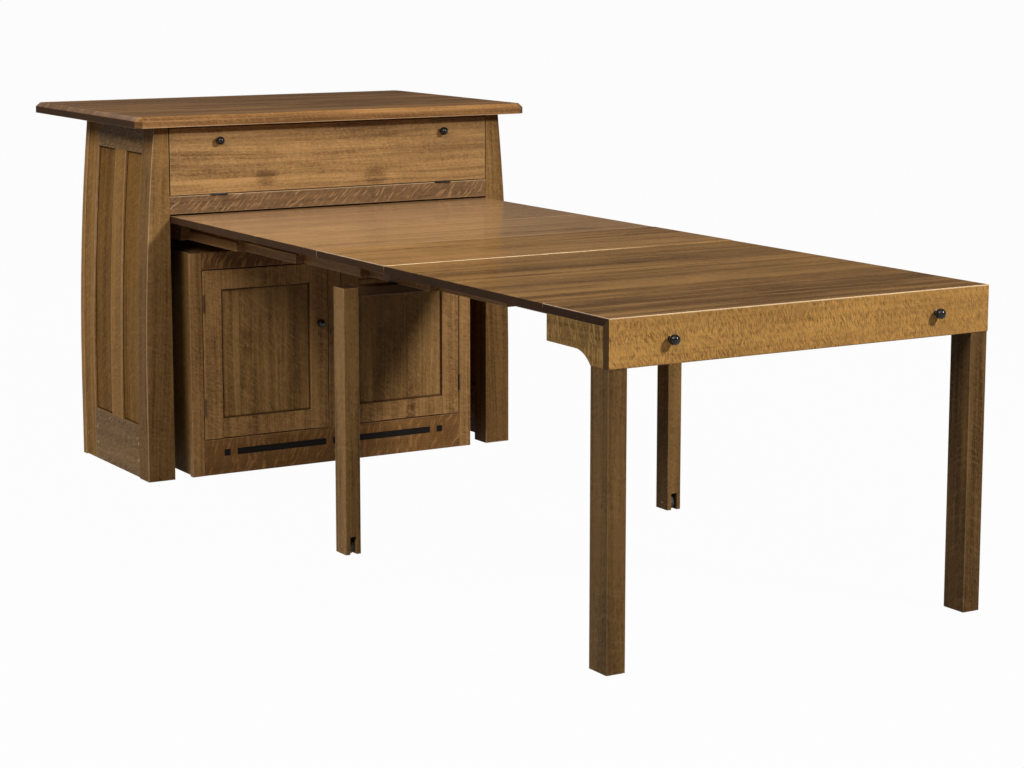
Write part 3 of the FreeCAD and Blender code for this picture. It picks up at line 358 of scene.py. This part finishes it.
class Shader:
    """A material under construction, with one method that adds any node."""

    def __init__(self, name):
        self.material = bpy.data.materials.new("island_" + name)
        self.material.use_nodes = True
        self.tree = self.material.node_tree
        self.surface = self.tree.nodes["Principled BSDF"]

    def feed(self, target, source):
        """Link a Value to a socket, or set the socket to a constant."""
        if isinstance(source, Value):
            self.tree.links.new(source.socket, target)
        elif source is not None:
            target.default_value = source

    def add(self, kind, settings=None):
        """Add a node and set its settings."""
        made = self.tree.nodes.new(kind)
        for key, value in (settings or {}).items():
            setattr(made, key, value)
        return made

    def node(self, kind, settings=None, *sources, output=0, **named):
        """Add a node, feed its sockets in order or by name, and give one of its outputs."""
        made = self.add(kind, settings)
        for socket, source in zip(made.inputs, sources):
            self.feed(socket, source)
        for name, source in named.items():
            self.feed(made.inputs[name], source)
        return Value(self, made.outputs[output])

    def vector(self, x, y, z):
        """A vector from three numbers or Values."""
        return self.node("ShaderNodeCombineXYZ", None, x, y, z)

    def parts(self, vector):
        """A vector's three values."""
        made = self.add("ShaderNodeSeparateXYZ")
        self.feed(made.inputs[0], vector)
        return [Value(self, socket) for socket in made.outputs]

    def attribute(self, name):
        """The three values of a mesh attribute."""
        settings = {"attribute_name": name}
        return self.parts(self.node("ShaderNodeAttribute", settings, output="Vector"))

    def noise(self, vector, detail=2.0, roughness=0.5):
        """Noise from 0 to 1 at the scale of its coordinates."""
        return self.node("ShaderNodeTexNoise", None, output="Fac", Vector=vector, Scale=1.0,
                         Detail=detail, Roughness=roughness)

    def swing(self, vector, detail=2.0, roughness=0.5):
        """Noise about 0."""
        return self.noise(vector, detail, roughness) - 0.5

    def mix(self, amount, first, second):
        """The first colour at an amount of 0, the second at 1."""
        made = self.add("ShaderNodeMix", {"data_type": "RGBA", "clamp_factor": True})
        colours = [socket for socket in made.inputs if socket.type == "RGBA"]
        self.feed(made.inputs[0], amount)
        self.feed(colours[0], with_alpha(first))
        self.feed(colours[1], with_alpha(second))
        return Value(self, next(socket for socket in made.outputs if socket.type == "RGBA"))

    def bump(self, height, distance, strength):
        """A normal bent by a height."""
        return self.node("ShaderNodeBump", None, output="Normal", Height=height, Distance=distance,
                         Strength=strength)

    def finish(self, **sockets):
        """Feed the surface's sockets by name, with underscores for spaces."""
        for name, source in sockets.items():
            self.feed(self.surface.inputs[name.replace("_", " ")], source)
        return self.material


def with_alpha(colour):
    """A plain colour with full alpha; a Value is passed on."""
    return colour if isinstance(colour, Value) else (*colour, 1.0)


def shade_colour(colour, factor):
    """A colour made darker or paler as a whole."""
    return tuple(channel * factor for channel in colour)


def tinted(colour, tint):
    """A colour times a tint, channel by channel."""
    return tuple(min(a * b, 1.0) for a, b in zip(colour, tint))


def oak(name, settings, look):
    """Stained quartersawn oak: growth lines, pores, ray fleck, glued strips, worn edges with
    painted highlight, and painted shade on a thick top's lower part and along panel grooves.
    """
    look = SimpleNamespace(**{**OAK_DEFAULTS, **look})
    s = Shader(name)
    along, across, end = s.attribute("face_place")
    u, v, chance = strip_place(s, along, across)
    grain = growth(s, u, v, chance)
    fleck = ray_fleck(s, u, v, chance, look) * (1.0 - end)

    body = oak_body(s, u, v, chance, grain, look, 1.0 - end)
    for knot in look.knots:
        body = body - knot_shade(along, across, grain.clouds, *knot)

    dark = tinted(look.colour, DARK_GRAIN)
    paint = s.mix(body, dark, tinted(look.colour, PALE_GRAIN))
    lying = s.attribute("board_strip")[1]
    strength = lying * (FLECK_COVER * look.rails) + FLECK_COVER * look.flecks
    paint = s.mix(fleck * strength, paint, tinted(look.colour, settings.fleck))
    paint = s.mix(grain.pores * look.pore, paint, shade_colour(dark, 0.6))
    paint = s.mix(end * look.ends, paint, tinted(look.colour, END_GRAIN))
    shine = (1.0 - end) * look.coat if look.coat else 0.0
    # Painted shade on the lower part of a thick top's edge, which also has no clear coat there
    if look.skin:
        lower = below_top(s)
        paint = s.mix(lower * look.skin, paint, shade_colour(look.colour, 0.20))
        shine = shine * (1.0 - lower)
    # Painted shade along the line where a panel meets its frame
    if look.corner:
        dark_tone = painted_groove_shade(s, look.corner) * 0.75
        paint = s.mix(dark_tone, paint, shade_colour(dark, 0.35))
    # Paler edges: partly wear, partly painted highlight on edges that catch the light
    worn_and_lit = edge_wear_and_highlight(s, u, v, look.upper) * (1.0 - end * 0.85) * look.wear
    if look.fade:
        worn_and_lit = worn_and_lit * (1.0 - along.step(*look.fade))
    paint = s.mix(worn_and_lit, paint, settings.worn_edge)

    height = 0.5 + fleck * 0.12 - grain.pores * 0.5 + grain.lines * 0.4
    rough = look.rough + grain.pores * 0.20 - fleck * 0.07 + grain.clouds * 0.12 + end * 0.35
    return s.finish(Base_Color=paint, Roughness=rough, Normal=s.bump(height, *OAK_RELIEF),
                    Coat_Weight=shine, Coat_Roughness=COAT_ROUGHNESS,
                    Specular_IOR_Level=look.gloss)


def strip_place(s, along, across):
    """Grain coordinates that jump from one glued strip to the next, and the strip's chances."""
    seed_a, seed_b, seed_c = s.attribute("board_seed")
    width = s.attribute("board_strip")[0]
    index = ((across + seed_a * 0.04) / width + 0.5).floor()
    place = s.vector(index + seed_a * 71.0, seed_b * 53.0, seed_c * 37.0)
    chance = s.parts(s.node("ShaderNodeTexWhiteNoise", {"noise_dimensions": "3D"}, output="Color",
                            Vector=place))
    return along + chance[0] * 7.0, across + chance[1] * 3.0, chance


def growth(s, u, v, chance):
    """The grain's layers, from fine lines to broad bands; the finer ones bend together."""
    first, second, third = chance
    ring = v + s.swing(s.vector(u * 1.6, v * 7.0, third * 9.0)) * 0.034
    pores = s.noise(s.vector(u * 46.0, ring * 820.0, third * 3.0), detail=1.0)
    return SimpleNamespace(
        lines=s.swing(s.vector(u * 2.4, ring * 150.0, third * 5.0), detail=3.0, roughness=0.6),
        streaks=s.swing(s.vector(u * 1.3, ring * 34.0, first * 5.0)),
        bands=s.swing(s.vector(u * 0.8, ring * 9.0, second * 5.0)),
        clouds=s.swing(s.vector(u * 5.0, v * 12.0, second * 9.0), detail=3.0),
        speckle=s.swing(s.vector(u * 110.0, v * 260.0, third * 3.0)),
        pores=pores.step(0.56, 0.70))


def oak_body(s, u, v, chance, grain, look, side_face):
    """How pale the oak is at each place, from 0 to 1, before its flecks and pores."""
    broad = (grain.streaks * 1.3 + grain.bands) * look.broad
    body = grain.lines * 1.1 + broad + grain.clouds * 0.7 + grain.speckle * 0.9
    body = body * (1.15 * look.grain) + 0.5 + (chance[2] - 0.5) * 0.24
    if look.curl:
        figure = curly_figure(s, u, v, chance[1], look.fine)
        body = body + figure * side_face * (1.1 * look.curl)
    if look.stains:
        spots = s.noise(s.vector(u * 4.2, v * 13.0, chance[0] * 6.0), detail=3.0).step(0.58, 0.76)
        body = body - spots * (0.75 * look.stains)
    return body


def knot_shade(along, across, clouds, knot_along, knot_across, reach):
    """Darkening about a knot, with a ragged outline longer along the grain than across it."""
    off_along = (along - knot_along) / reach
    off_across = (across - knot_across) / (reach * 0.6)
    far = off_along * off_along + off_across * off_across + clouds * 1.5
    return (1.0 - far.step(0.0, 1.2)) * 0.45


def ray_fleck(s, u, v, chance, look):
    """Pale ribbons of the rays, which cross the grain at a lean that drifts along the board."""
    bend = s.swing(s.vector(u * 9.0, v * 10.0, chance[1] * 7.0))
    drift = (chance[0] - 0.5) * 0.5 + look.lean
    slant = u + v * drift + bend * look.sway
    follow = v - u * drift * 0.5
    pitch = 1.0 / look.spacing
    ribbons = s.noise(s.vector(slant * pitch, follow * pitch * 0.16, chance[2] * 8.0), detail=1.8)
    places = s.noise(s.vector(u * 5.0, v * 14.0, chance[0] * 8.0)).step(0.28, 0.60)
    ribbons = ribbons.step(0.52 - look.thick, 0.64 - look.thick)
    return ribbons * (places * look.patchy + (1.0 - look.patchy))


def curly_figure(s, u, v, chance, fine):
    """Small dense crests that run across the grain and bend with it."""
    bend = s.swing(s.vector(u * 16.0, v * 22.0, chance * 4.0))
    slant = u + v * 0.30 + bend * 0.030
    crests = s.swing(s.vector(slant * (250.0 * fine), v * (55.0 * fine), chance * 6.0), detail=1.2)
    swell = s.noise(s.vector(u * 14.0, v * 30.0, chance * 3.0)).step(0.20, 0.55)
    return crests * (swell * 0.6 + 0.4)


def below_top(s):
    """1 on a thick top's lower part, where shade is painted, falling to 0 at the upper end of its
    bevel.
    """
    return 1.0 - s.attribute("board_place")[2].step(0.0020, 0.0125)


def painted_groove_shade(s, depth):
    """Painted shade: a dark line along which a panel enters its grooves."""
    long, wide, _ = s.attribute("board_place")
    half_long, half_wide, _ = s.attribute("board_half")
    inwards = (half_long - abs(long)).least(half_wide - abs(wide))
    return 1.0 - inwards.step(depth, depth + 0.004)


def edge_wear_and_highlight(s, u, v, upper):
    """Where a board's edges are paler, partly worn and partly painted highlight: strongest on the
    edge, broken up by noise.

    With upper, only the edges towards that axis's upper end get it, as painted highlight from
    above.
    """
    places = s.attribute("board_place")
    halves = s.attribute("board_half")
    depth_a, depth_b, depth_c = [half - abs(place) for half, place in zip(halves, places)]
    low = depth_a.least(depth_b)
    high = depth_a.most(depth_b)
    middle = depth_b.most(depth_c) if upper == 1 else low.most(high.least(depth_c))
    break_up = s.noise(s.vector(u * 30.0, v * 90.0, 0.0)).step(0.25, 0.60)
    worn_and_lit = (1.0 - middle.step(0.0006, 0.0030)) * (break_up * 0.55 + 0.45)
    return worn_and_lit * places[upper].step(0.0, 0.004) if upper else worn_and_lit


def own_place(s, *scales):
    """A CAD node's own coordinates, which move with it, times one scale for each axis."""
    places = s.parts(s.node("ShaderNodeTexCoord", output="Object"))
    return s.vector(*(place * scale for place, scale in zip(places, scales)))


def lacquered_metal(name, colour, rough, metallic):
    """Dark lacquer over metal, with faint mottling and fine scratches."""
    s = Shader(name)
    mottle = s.noise(own_place(s, 90.0, 90.0, 90.0), detail=3.0)
    scratch = s.noise(own_place(s, 2600.0, 300.0, 900.0), detail=1.0).step(0.66, 0.74)
    tint = s.mix(mottle.step(0.45, 0.80) * 0.5, colour, shade_colour(colour, 2.6))
    return s.finish(
        Base_Color=s.mix(scratch * 0.25, tint, shade_colour(colour, 5.0)),
        Roughness=rough + (mottle - 0.5) * 0.16 + scratch * 0.10, Metallic=metallic,
        Normal=s.bump(mottle - scratch * 0.3, 0.0002, 0.15), Coat_Weight=0.15, Coat_Roughness=0.12,
        Specular_IOR_Level=0.25)


def brushed_steel(name):
    """Plain steel with fine lengthwise brushing and a few dull patches."""
    s = Shader(name)
    brushing = s.noise(own_place(s, 60.0, 2400.0, 2400.0))
    dull = s.noise(own_place(s, 70.0, 70.0, 70.0)).step(0.45, 0.75)
    colour = s.mix(brushing, (0.30, 0.29, 0.28), (0.46, 0.45, 0.43))
    return s.finish(Base_Color=s.mix(dull * 0.4, colour, (0.20, 0.18, 0.16)), Metallic=1.0,
                    Roughness=0.30 + brushing * 0.15 + dull * 0.15,
                    Normal=s.bump(brushing, 0.0001, 0.10))


def rubber(name, colour):
    """Dull wheel rubber with dust in its scuffs."""
    s = Shader(name)
    grain = s.noise(own_place(s, 900.0, 900.0, 900.0))
    dust = s.noise(own_place(s, 60.0, 60.0, 60.0), detail=3.0).step(0.45, 0.75)
    return s.finish(Base_Color=s.mix(dust * 0.35, colour, (0.16, 0.15, 0.14)),
                    Roughness=0.62 + grain * 0.15, Normal=s.bump(grain, 0.0002, 0.25))


def ebony(name, colour):
    """Near-black inlaid wood with faint grain."""
    s = Shader(name)
    along, across, _ = s.attribute("face_place")
    grain = s.noise(s.vector(along * 30.0, across * 900.0, 0.0), detail=3.0)
    return s.finish(Base_Color=s.mix(grain, colour, shade_colour(colour, 2.6)),
                    Roughness=0.55 + grain * 0.12, Normal=s.bump(grain, 0.0002, 0.15),
                    Specular_IOR_Level=0.08)


def make_materials(settings):
    """Every finish by name."""
    bronze, brass = settings.bronze, settings.old_brass
    finishes = {name: oak(name, settings, look) for name, look in OAK_FINISHES.items()}
    finishes.update({
        "inlay": ebony("inlay", settings.ebony),
        "knob": lacquered_metal("knob", shade_colour(bronze, 0.5), rough=0.26, metallic=0.1),
        "hinge": lacquered_metal("hinge", bronze, rough=0.42, metallic=0.55),
        "door_hinge": lacquered_metal("door_hinge", brass, rough=0.50, metallic=0.3),
        "steel": brushed_steel("steel"),
        "tyre": rubber("tyre", (0.018, 0.018, 0.020)),
        "hub": rubber("hub", (0.11, 0.11, 0.115)),
    })
    return finishes


def clean_mesh(node):
    """A node's solids as a bmesh with whole flat faces in place of triangles."""
    mesh = bmesh.new()
    mesh.from_mesh(frame["nodes"][node].data)
    bmesh.ops.remove_doubles(mesh, verts=mesh.verts, dist=MERGE_DISTANCE)
    bmesh.ops.dissolve_limit(mesh, angle_limit=FLAT_ANGLE, use_dissolve_boundaries=False,
                             verts=mesh.verts, edges=mesh.edges)
    return mesh


def solids_of(mesh):
    """The separate solids of a bmesh, as lists of faces."""
    waiting = set(mesh.faces)
    solids = []
    while waiting:
        front = [waiting.pop()]
        solid = []
        while front:
            face = front.pop()
            solid.append(face)
            for edge in face.edges:
                for other in edge.link_faces:
                    if other in waiting:
                        waiting.discard(other)
                        front.append(other)
        solids.append(solid)
    return sorted(solids, key=lambda faces: tuple(round(c, 4) for c in solid_box(faces)[0]))


def solid_box(faces):
    """The lowest and the highest corner of a solid's box."""
    places = np.array([vert.co for face in faces for vert in face.verts])
    return places.min(0), places.max(0)


def fresh_board(node):
    """A square-edged board that fills its node's box and stands a little proud of it."""
    low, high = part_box(node)
    high.z += PROUD_STEP
    mesh = bmesh.new()
    bmesh.ops.create_cube(mesh, size=1.0)
    bmesh.ops.scale(mesh, vec=high - low, verts=mesh.verts)
    bmesh.ops.translate(mesh, vec=(low + high) / 2, verts=mesh.verts)
    return mesh


def round_edges(mesh, radius):
    """Round every outward edge that isn't nearly flat."""
    sharp = [edge for edge in mesh.edges
             if len(edge.link_faces) == 2 and edge.calc_face_angle_signed(0.0) > ROUNDED_ANGLE]
    bmesh.ops.bevel(mesh, geom=sharp, offset=radius, offset_type="OFFSET", segments=3, profile=0.5,
                    affect="EDGES", clamp_overlap=True)


def bow_depth(height, radius):
    """How far the cabinet's outer face leans in at a height."""
    climb = np.clip(height - BOW_START, 0.0, None)
    return radius - np.sqrt(radius * radius - climb * climb)


def straightened(places, node):
    """Coordinates of a bowed side piece as if its outer face were upright."""
    if not node.startswith(BOWED):
        return places
    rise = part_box("post_front_right")[1].z - BOW_START
    radius = (rise * rise + BOW_INSET * BOW_INSET) / (2 * BOW_INSET)
    places = places.copy()
    places[:, 0] += np.sign(places[:, 0]) * bow_depth(places[:, 2], radius)
    return places


def write_board_layers(mesh, node, strip, chance):
    """Store each board's own coordinates, so that its grain follows the board.

    Every vertex has its place from the board's middle along the board's length, width and
    thickness (board_place), half the board's size (board_half), the board's chances (board_seed),
    the width of its glued strips, and 1 where its length is level (both in board_strip).
    """
    place = mesh.verts.layers.float_vector.new("board_place")
    half = mesh.verts.layers.float_vector.new("board_half")
    seed = mesh.verts.layers.float_vector.new("board_seed")
    width = mesh.verts.layers.float_vector.new("board_strip")
    face_place = mesh.loops.layers.float_vector.new("face_place")
    for faces in solids_of(mesh):
        verts = list({vert for face in faces for vert in face.verts})
        places = straightened(np.array([vert.co for vert in verts]), node)
        low, high = places.min(0), places.max(0)
        order = np.argsort(low - high)
        local = (places - (low + high) / 2)[:, order]
        size = Vector((high - low)[order] / 2)
        seeds = Vector(chance.random(3))
        lying = 0.0 if order[0] == 2 else 1.0
        strips = Vector((strip or UNGLUED, lying, 0.0))
        for vert, point in zip(verts, local):
            vert[place] = Vector(point)
            vert[half] = size
            vert[seed] = seeds
            vert[width] = strips
        for face in faces:
            turn = [abs(face.normal[axis]) for axis in order]
            bevelled = BEVEL_TURN[0] < turn[0] < BEVEL_TURN[1]
            turn[0] *= END_SHARE
            facing = turn.index(max(turn))
            for loop in face.loops:
                point = face_point(loop.vert[place], facing)
                loop[face_place] = Vector((point.x, point.y, BEVEL)) if bevelled else point


def face_point(point, facing):
    """Grain coordinates on a board's wide face, its edge or its end."""
    if facing == 0:
        return Vector((point.z, point.y, END))
    if facing == 1:
        return Vector((point.x, point.z, FACE))
    return Vector((point.x, point.y, FACE))


def body_of_node(node):
    """The CAD body that a node belongs to."""
    bodies = frame["record"]["behaviour"]["bodies"]
    return next(body for body, nodes in bodies.items() if node in nodes)


def new_piece(name, mesh, material, body):
    """Turn a bmesh into a piece that rides on a CAD body."""
    data = bpy.data.meshes.new(name)
    mesh.to_mesh(data)
    mesh.free()
    data.materials.append(material)
    data.shade_smooth()
    data.set_sharp_from_angle(angle=SMOOTH_ANGLE)
    piece = bpy.data.objects.new(name, data)
    bpy.context.scene.collection.objects.link(piece)
    weighted = piece.modifiers.new("even shading", "WEIGHTED_NORMAL")
    weighted.keep_sharp = True
    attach(piece, body)
    return piece


def dress_boards(boards, settings, materials):
    """Replace wood nodes by the same boards with rounded edges and grain of their own."""
    for index, (node, (finish, strip)) in enumerate(boards.items()):
        chance = np.random.default_rng(len(node) * 1000 + index)
        mesh = fresh_board(node) if node == PROUD_LEAF else clean_mesh(node)
        round_edges(mesh, EDGE_RADII.get(node, settings.edge_radius))
        mesh.normal_update()
        write_board_layers(mesh, node, strip, chance)
        piece = new_piece(node + "_wood", mesh, materials[finish], body_of_node(node))
        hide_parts(node)


def paint_node(node, material):
    """Give a CAD node that keeps its shape a better material."""
    for slot in frame["nodes"][node].material_slots:
        slot.material = material


def turned(mesh, profile, centre, axis, steps):
    """Add a shape turned about an axis through centre; profile is (distance along, radius)."""
    turn = axis.to_track_quat("Z", "Y").to_matrix().to_4x4()
    rings = []
    for distance, radius in profile:
        ring = []
        for step in range(steps):
            angle = 2 * math.pi * step / steps
            point = Vector((radius * math.cos(angle), radius * math.sin(angle), distance))
            ring.append(mesh.verts.new(centre + turn @ point))
        rings.append(ring)
    for lower, upper in zip(rings, rings[1:]):
        for step in range(steps):
            after = (step + 1) % steps
            mesh.faces.new((lower[step], lower[after], upper[after], upper[step]))
    mesh.faces.new(list(reversed(rings[0])))
    mesh.faces.new(rings[-1])


def knob_profile(reach, ball):
    """Base with a bead, waisted neck and a round ball that ends at reach."""
    radius = ball / 2
    middle = reach - radius
    start = math.asin(NECK_RADIUS / radius)
    arc = [start + (math.pi - start) * step / BALL_STEPS for step in range(BALL_STEPS)]
    sphere = [(middle - radius * math.cos(angle), radius * math.sin(angle)) for angle in arc]
    return KNOB_BASE + sphere + [(reach, KNOB_TIP)]


def add_knobs(mesh, places, reach, ball):
    """Turn knobs that point to the front, from the middles of their bases."""
    for place in places:
        turned(mesh, knob_profile(reach, ball), Vector(place), Vector((0, -1, 0)), KNOB_FACES)


def knob_places(node):
    """Centre of each knob's base in a node of two knobs."""
    low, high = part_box(node)
    radius = (high.z - low.z) / 2
    return [(x, high.y, (low.z + high.z) / 2) for x in (low.x + radius, high.x - radius)]


def keep_solids(mesh, wanted):
    """Drop the solids of a bmesh that aren't wanted."""
    for faces in solids_of(mesh):
        low, high = solid_box(faces)
        if not wanted(low, high):
            bmesh.ops.delete(mesh, geom=list({v for f in faces for v in f.verts}), context="VERTS")


def make_knobs(materials):
    """Turned knobs of the drop front, the table's end and the doors, with the doors' hinges."""
    knob = materials["knob"]
    for node in ("drop_front_knobs", "end_knobs"):
        low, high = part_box(node)
        mesh = bmesh.new()
        add_knobs(mesh, knob_places(node), high.y - low.y, high.z - low.z)
        piece = new_piece(node + "_turned", mesh, knob, body_of_node(node))
        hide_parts(node)
    for side in ("left", "right"):
        node = "door_fittings_" + side
        body = body_of_node(node)
        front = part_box(node)[0].y + KNOB_MARGIN
        mesh = clean_mesh(node)
        boxes = map(solid_box, solids_of(mesh))
        low, high = next(box for box in boxes if box[0][1] < front)
        keep_solids(mesh, lambda low, high: low[1] > front)
        hinges = new_piece(node + "_hinges", mesh, materials["door_hinge"], body)
        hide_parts(node)
        mesh = bmesh.new()
        base = ((low[0] + high[0]) / 2, high[1], (low[2] + high[2]) / 2)
        add_knobs(mesh, [base], high[1] - low[1], high[2] - low[2])
        new_piece(node + "_knob", mesh, knob, body)


def make_fixed_hinges(materials):
    """The hinges' fixed leaves: dark on the drop front, tarnished brass on the doors."""
    node = "hinge_fixed_leaves"
    body = body_of_node(node)
    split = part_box("middle_rail")[0].z - HINGE_MARGIN
    for name, finish, upper in (("drop_front", "hinge", True), ("doors", "door_hinge", False)):
        mesh = clean_mesh(node)
        keep_solids(mesh, lambda low, high: (low[2] > split) == upper)
        piece = new_piece(node + "_" + name, mesh, materials[finish], body)
        if upper:
            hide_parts(node)


def tyre_outline(half, radius):
    """Half of a tyre's outline: the seat of its hub, its flank and its rounded shoulder."""
    return [(-half * 0.80, radius * 0.62), (-half, radius * 0.66), (-half, radius - 0.0030),
            (-half + 0.0012, radius - 0.0008), (-half + 0.0032, radius)]


def hub_outline(half, radius):
    """Half of a dished hub's outline: its boss, its web and its rim."""
    return [(-half * 0.92, 0.0055), (-half * 0.92, 0.0080), (-half * 0.62, 0.0090),
            (-half * 0.62, radius * 0.56), (-half * 0.86, radius * 0.615)]


def make_wheels(materials):
    """Rubber tyres on grey hubs for the mid legs."""
    for node in ("wheel_left", "wheel_right"):
        low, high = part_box(node)
        for name, outline in (("tyre", tyre_outline), ("hub", hub_outline)):
            half_outline = outline((high.x - low.x) / 2, (high.z - low.z) / 2)
            other_half = [(-distance, radius) for distance, radius in reversed(half_outline)]
            mesh = bmesh.new()
            turned(mesh, half_outline + other_half, (low + high) / 2, Vector((1, 0, 0)),
                   WHEEL_FACES)
            piece = new_piece(node + "_" + name, mesh, materials[name], node)
            if name == "tyre":
                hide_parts(node)


def make_plugs(materials):
    """Small pale plugs that cover the screws at the ends of the side rails."""
    chance = np.random.default_rng(7)
    for side, sign in (("left", -1), ("right", 1)):
        low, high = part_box("side_rails_" + side)
        face = low.x if side == "left" else high.x
        mesh = bmesh.new()
        for y in (low.y + PLUG_INSET, high.y - PLUG_INSET):
            for z in PLUG_HEIGHTS:
                turned(mesh, PLUG_OUTLINE, Vector((face, y, z)), Vector((sign, 0, 0)), PLUG_FACES)
        mesh.normal_update()
        write_board_layers(mesh, "plug", None, chance)
        new_piece("rail_plugs_" + side, mesh, materials["plug"], "cabinet")


def make_stage(settings):
    """Pale floor, soft lamps, even surroundings and the photograph's camera."""
    add_floor()
    world = bpy.data.worlds.new("surroundings")
    world.use_nodes = True
    background = world.node_tree.nodes["Background"]
    background.inputs["Color"].default_value = (1.0, 1.0, 1.0, 1.0)
    background.inputs["Strength"].default_value = WORLD_STRENGTH
    bpy.context.scene.world = world
    for name, (place, size, power) in LAMPS.items():
        add_lamp(name, place, Vector(LAMP_TARGET), size, getattr(settings, power))
    add_camera()
    bpy.context.scene.view_settings.view_transform = "Standard"


def add_floor():
    """A floor that the camera and the gloss see as white, with the object's shadow on it."""
    mesh = bpy.data.meshes.new("floor")
    corners = [(-1, -1), (1, -1), (1, 1), (-1, 1)]
    mesh.from_pydata([(x * FLOOR_REACH, y * FLOOR_REACH, 0.0) for x, y in corners], [],
                     [(0, 1, 2, 3)])
    floor = bpy.data.objects.new("floor", mesh)
    bpy.context.scene.collection.objects.link(floor)
    s = Shader("floor")
    s.finish(Base_Color=(FLOOR_GREY, FLOOR_GREY, FLOOR_GREY, 1.0), Roughness=0.9,
             Specular_IOR_Level=0.0)
    glow = s.node("ShaderNodeEmission", None, (1.0, 1.0, 1.0, 1.0), 1.0)
    rays = s.add("ShaderNodeLightPath")
    camera, glossy, transmission = [
        Value(s, rays.outputs[name])
        for name in ("Is Camera Ray", "Is Glossy Ray", "Is Transmission Ray")]
    seen = camera.most(glossy).most(transmission)
    blend = s.node("ShaderNodeMixShader", None, seen * FLOOR_WHITE,
                   Value(s, s.surface.outputs[0]), glow)
    s.tree.links.new(blend.socket, s.tree.nodes["Material Output"].inputs["Surface"])
    mesh.materials.append(s.material)


def add_lamp(name, place, target, size, power):
    """A round lamp that faces the target."""
    lamp = bpy.data.lights.new(name, "AREA")
    lamp.shape = "DISK"
    lamp.size = size
    lamp.energy = power
    holder = bpy.data.objects.new(name, lamp)
    holder.location = place
    holder.rotation_euler = (target - Vector(place)).to_track_quat("-Z", "Y").to_euler()
    bpy.context.scene.collection.objects.link(holder)


def add_camera():
    """The camera that took the photograph."""
    camera = bpy.data.cameras.new("camera")
    camera.sensor_width = SENSOR_WIDTH
    camera.lens = FOCAL_PIXELS * SENSOR_WIDTH / IMAGE_WIDTH
    camera.shift_y = (CENTRE_ROW - IMAGE_HEIGHT / 2) / IMAGE_WIDTH
    camera.clip_end = CAMERA_FAR
    holder = bpy.data.objects.new("camera", camera)
    ahead = Vector((math.sin(CAMERA_YAW) * math.cos(CAMERA_PITCH),
                    math.cos(CAMERA_YAW) * math.cos(CAMERA_PITCH), math.sin(CAMERA_PITCH)))
    right = Vector((math.cos(CAMERA_YAW), -math.sin(CAMERA_YAW), 0.0))
    up = right.cross(ahead)
    right, up = (right * math.cos(CAMERA_ROLL) + up * math.sin(CAMERA_ROLL),
                 up * math.cos(CAMERA_ROLL) - right * math.sin(CAMERA_ROLL))
    turn = Matrix((right, up, -ahead)).transposed()
    holder.rotation_mode = "QUATERNION"
    holder.rotation_quaternion = turn.to_quaternion()
    holder.location = Vector(CAMERA_PLACE) + Vector((0.0, CABINET_FRONT, 0.0))
    bpy.context.scene.collection.objects.link(holder)
    bpy.context.scene.camera = holder


class IslandOperator:
    """What all the island's operators share."""

    bl_options = {"REGISTER", "UNDO"}

    made = {}

    def materials(self, context):
        """Every finish by name, made once for all the operators."""
        if not self.made:
            self.made.update(make_materials(context.scene.island))
        return self.made


class DressCabinet(IslandOperator, bpy.types.Operator):
    """Dress the cabinet, its cupboard, its doors and its drop front in oak"""

    bl_idname = "island.dress_cabinet"
    bl_label = "Dress cabinet"

    def execute(self, context):
        materials = self.materials(context)
        dress_boards(CABINET_BOARDS, context.scene.island, materials)
        make_plugs(materials)
        return {"FINISHED"}


class DressTable(IslandOperator, bpy.types.Operator):
    """Dress the extension table, its leaves and its slides in oak"""

    bl_idname = "island.dress_table"
    bl_label = "Dress table"

    def execute(self, context):
        dress_boards(TABLE_BOARDS, context.scene.island, self.materials(context))
        return {"FINISHED"}


class AddFittings(IslandOperator, bpy.types.Operator):
    """Turn the knobs, build the wheels and finish the hinges and axles"""

    bl_idname = "island.add_fittings"
    bl_label = "Add fittings"

    def execute(self, context):
        materials = self.materials(context)
        make_knobs(materials)
        make_fixed_hinges(materials)
        make_wheels(materials)
        paint_node("drop_front_hinge_leaves", materials["hinge"])
        paint_node("mid_leg_axles", materials["steel"])
        return {"FINISHED"}


class AddStage(IslandOperator, bpy.types.Operator):
    """Set the floor, the lamps and the camera"""

    bl_idname = "island.add_stage"
    bl_label = "Add stage"

    def execute(self, context):
        make_stage(context.scene.island)
        return {"FINISHED"}


class IslandPanel(bpy.types.Panel):
    """Settings and steps of the island"""

    bl_idname = "VIEW3D_PT_island"
    bl_label = "Kitchen island"
    bl_space_type = "VIEW_3D"
    bl_region_type = "UI"
    bl_category = "Island"

    def draw(self, context):
        for name in context.scene.island.__annotations__:
            self.layout.prop(context.scene.island, name)
        for operator in (DressCabinet, DressTable, AddFittings, AddStage):
            self.layout.operator(operator.bl_idname)


CLASSES = (IslandSettings, DressCabinet, DressTable, AddFittings, AddStage, IslandPanel)


def register():
    for cls in CLASSES:
        bpy.utils.register_class(cls)
    bpy.types.Scene.island = PointerProperty(type=IslandSettings)


def unregister():
    del bpy.types.Scene.island
    for cls in reversed(CLASSES):
        bpy.utils.unregister_class(cls)


def main():
    """Register the island's steps, dress the whole island and set the stage."""
    register()
    bpy.ops.island.dress_cabinet()
    bpy.ops.island.dress_table()
    bpy.ops.island.add_fittings()
    bpy.ops.island.add_stage()


if __name__ == "__main__":
    main()
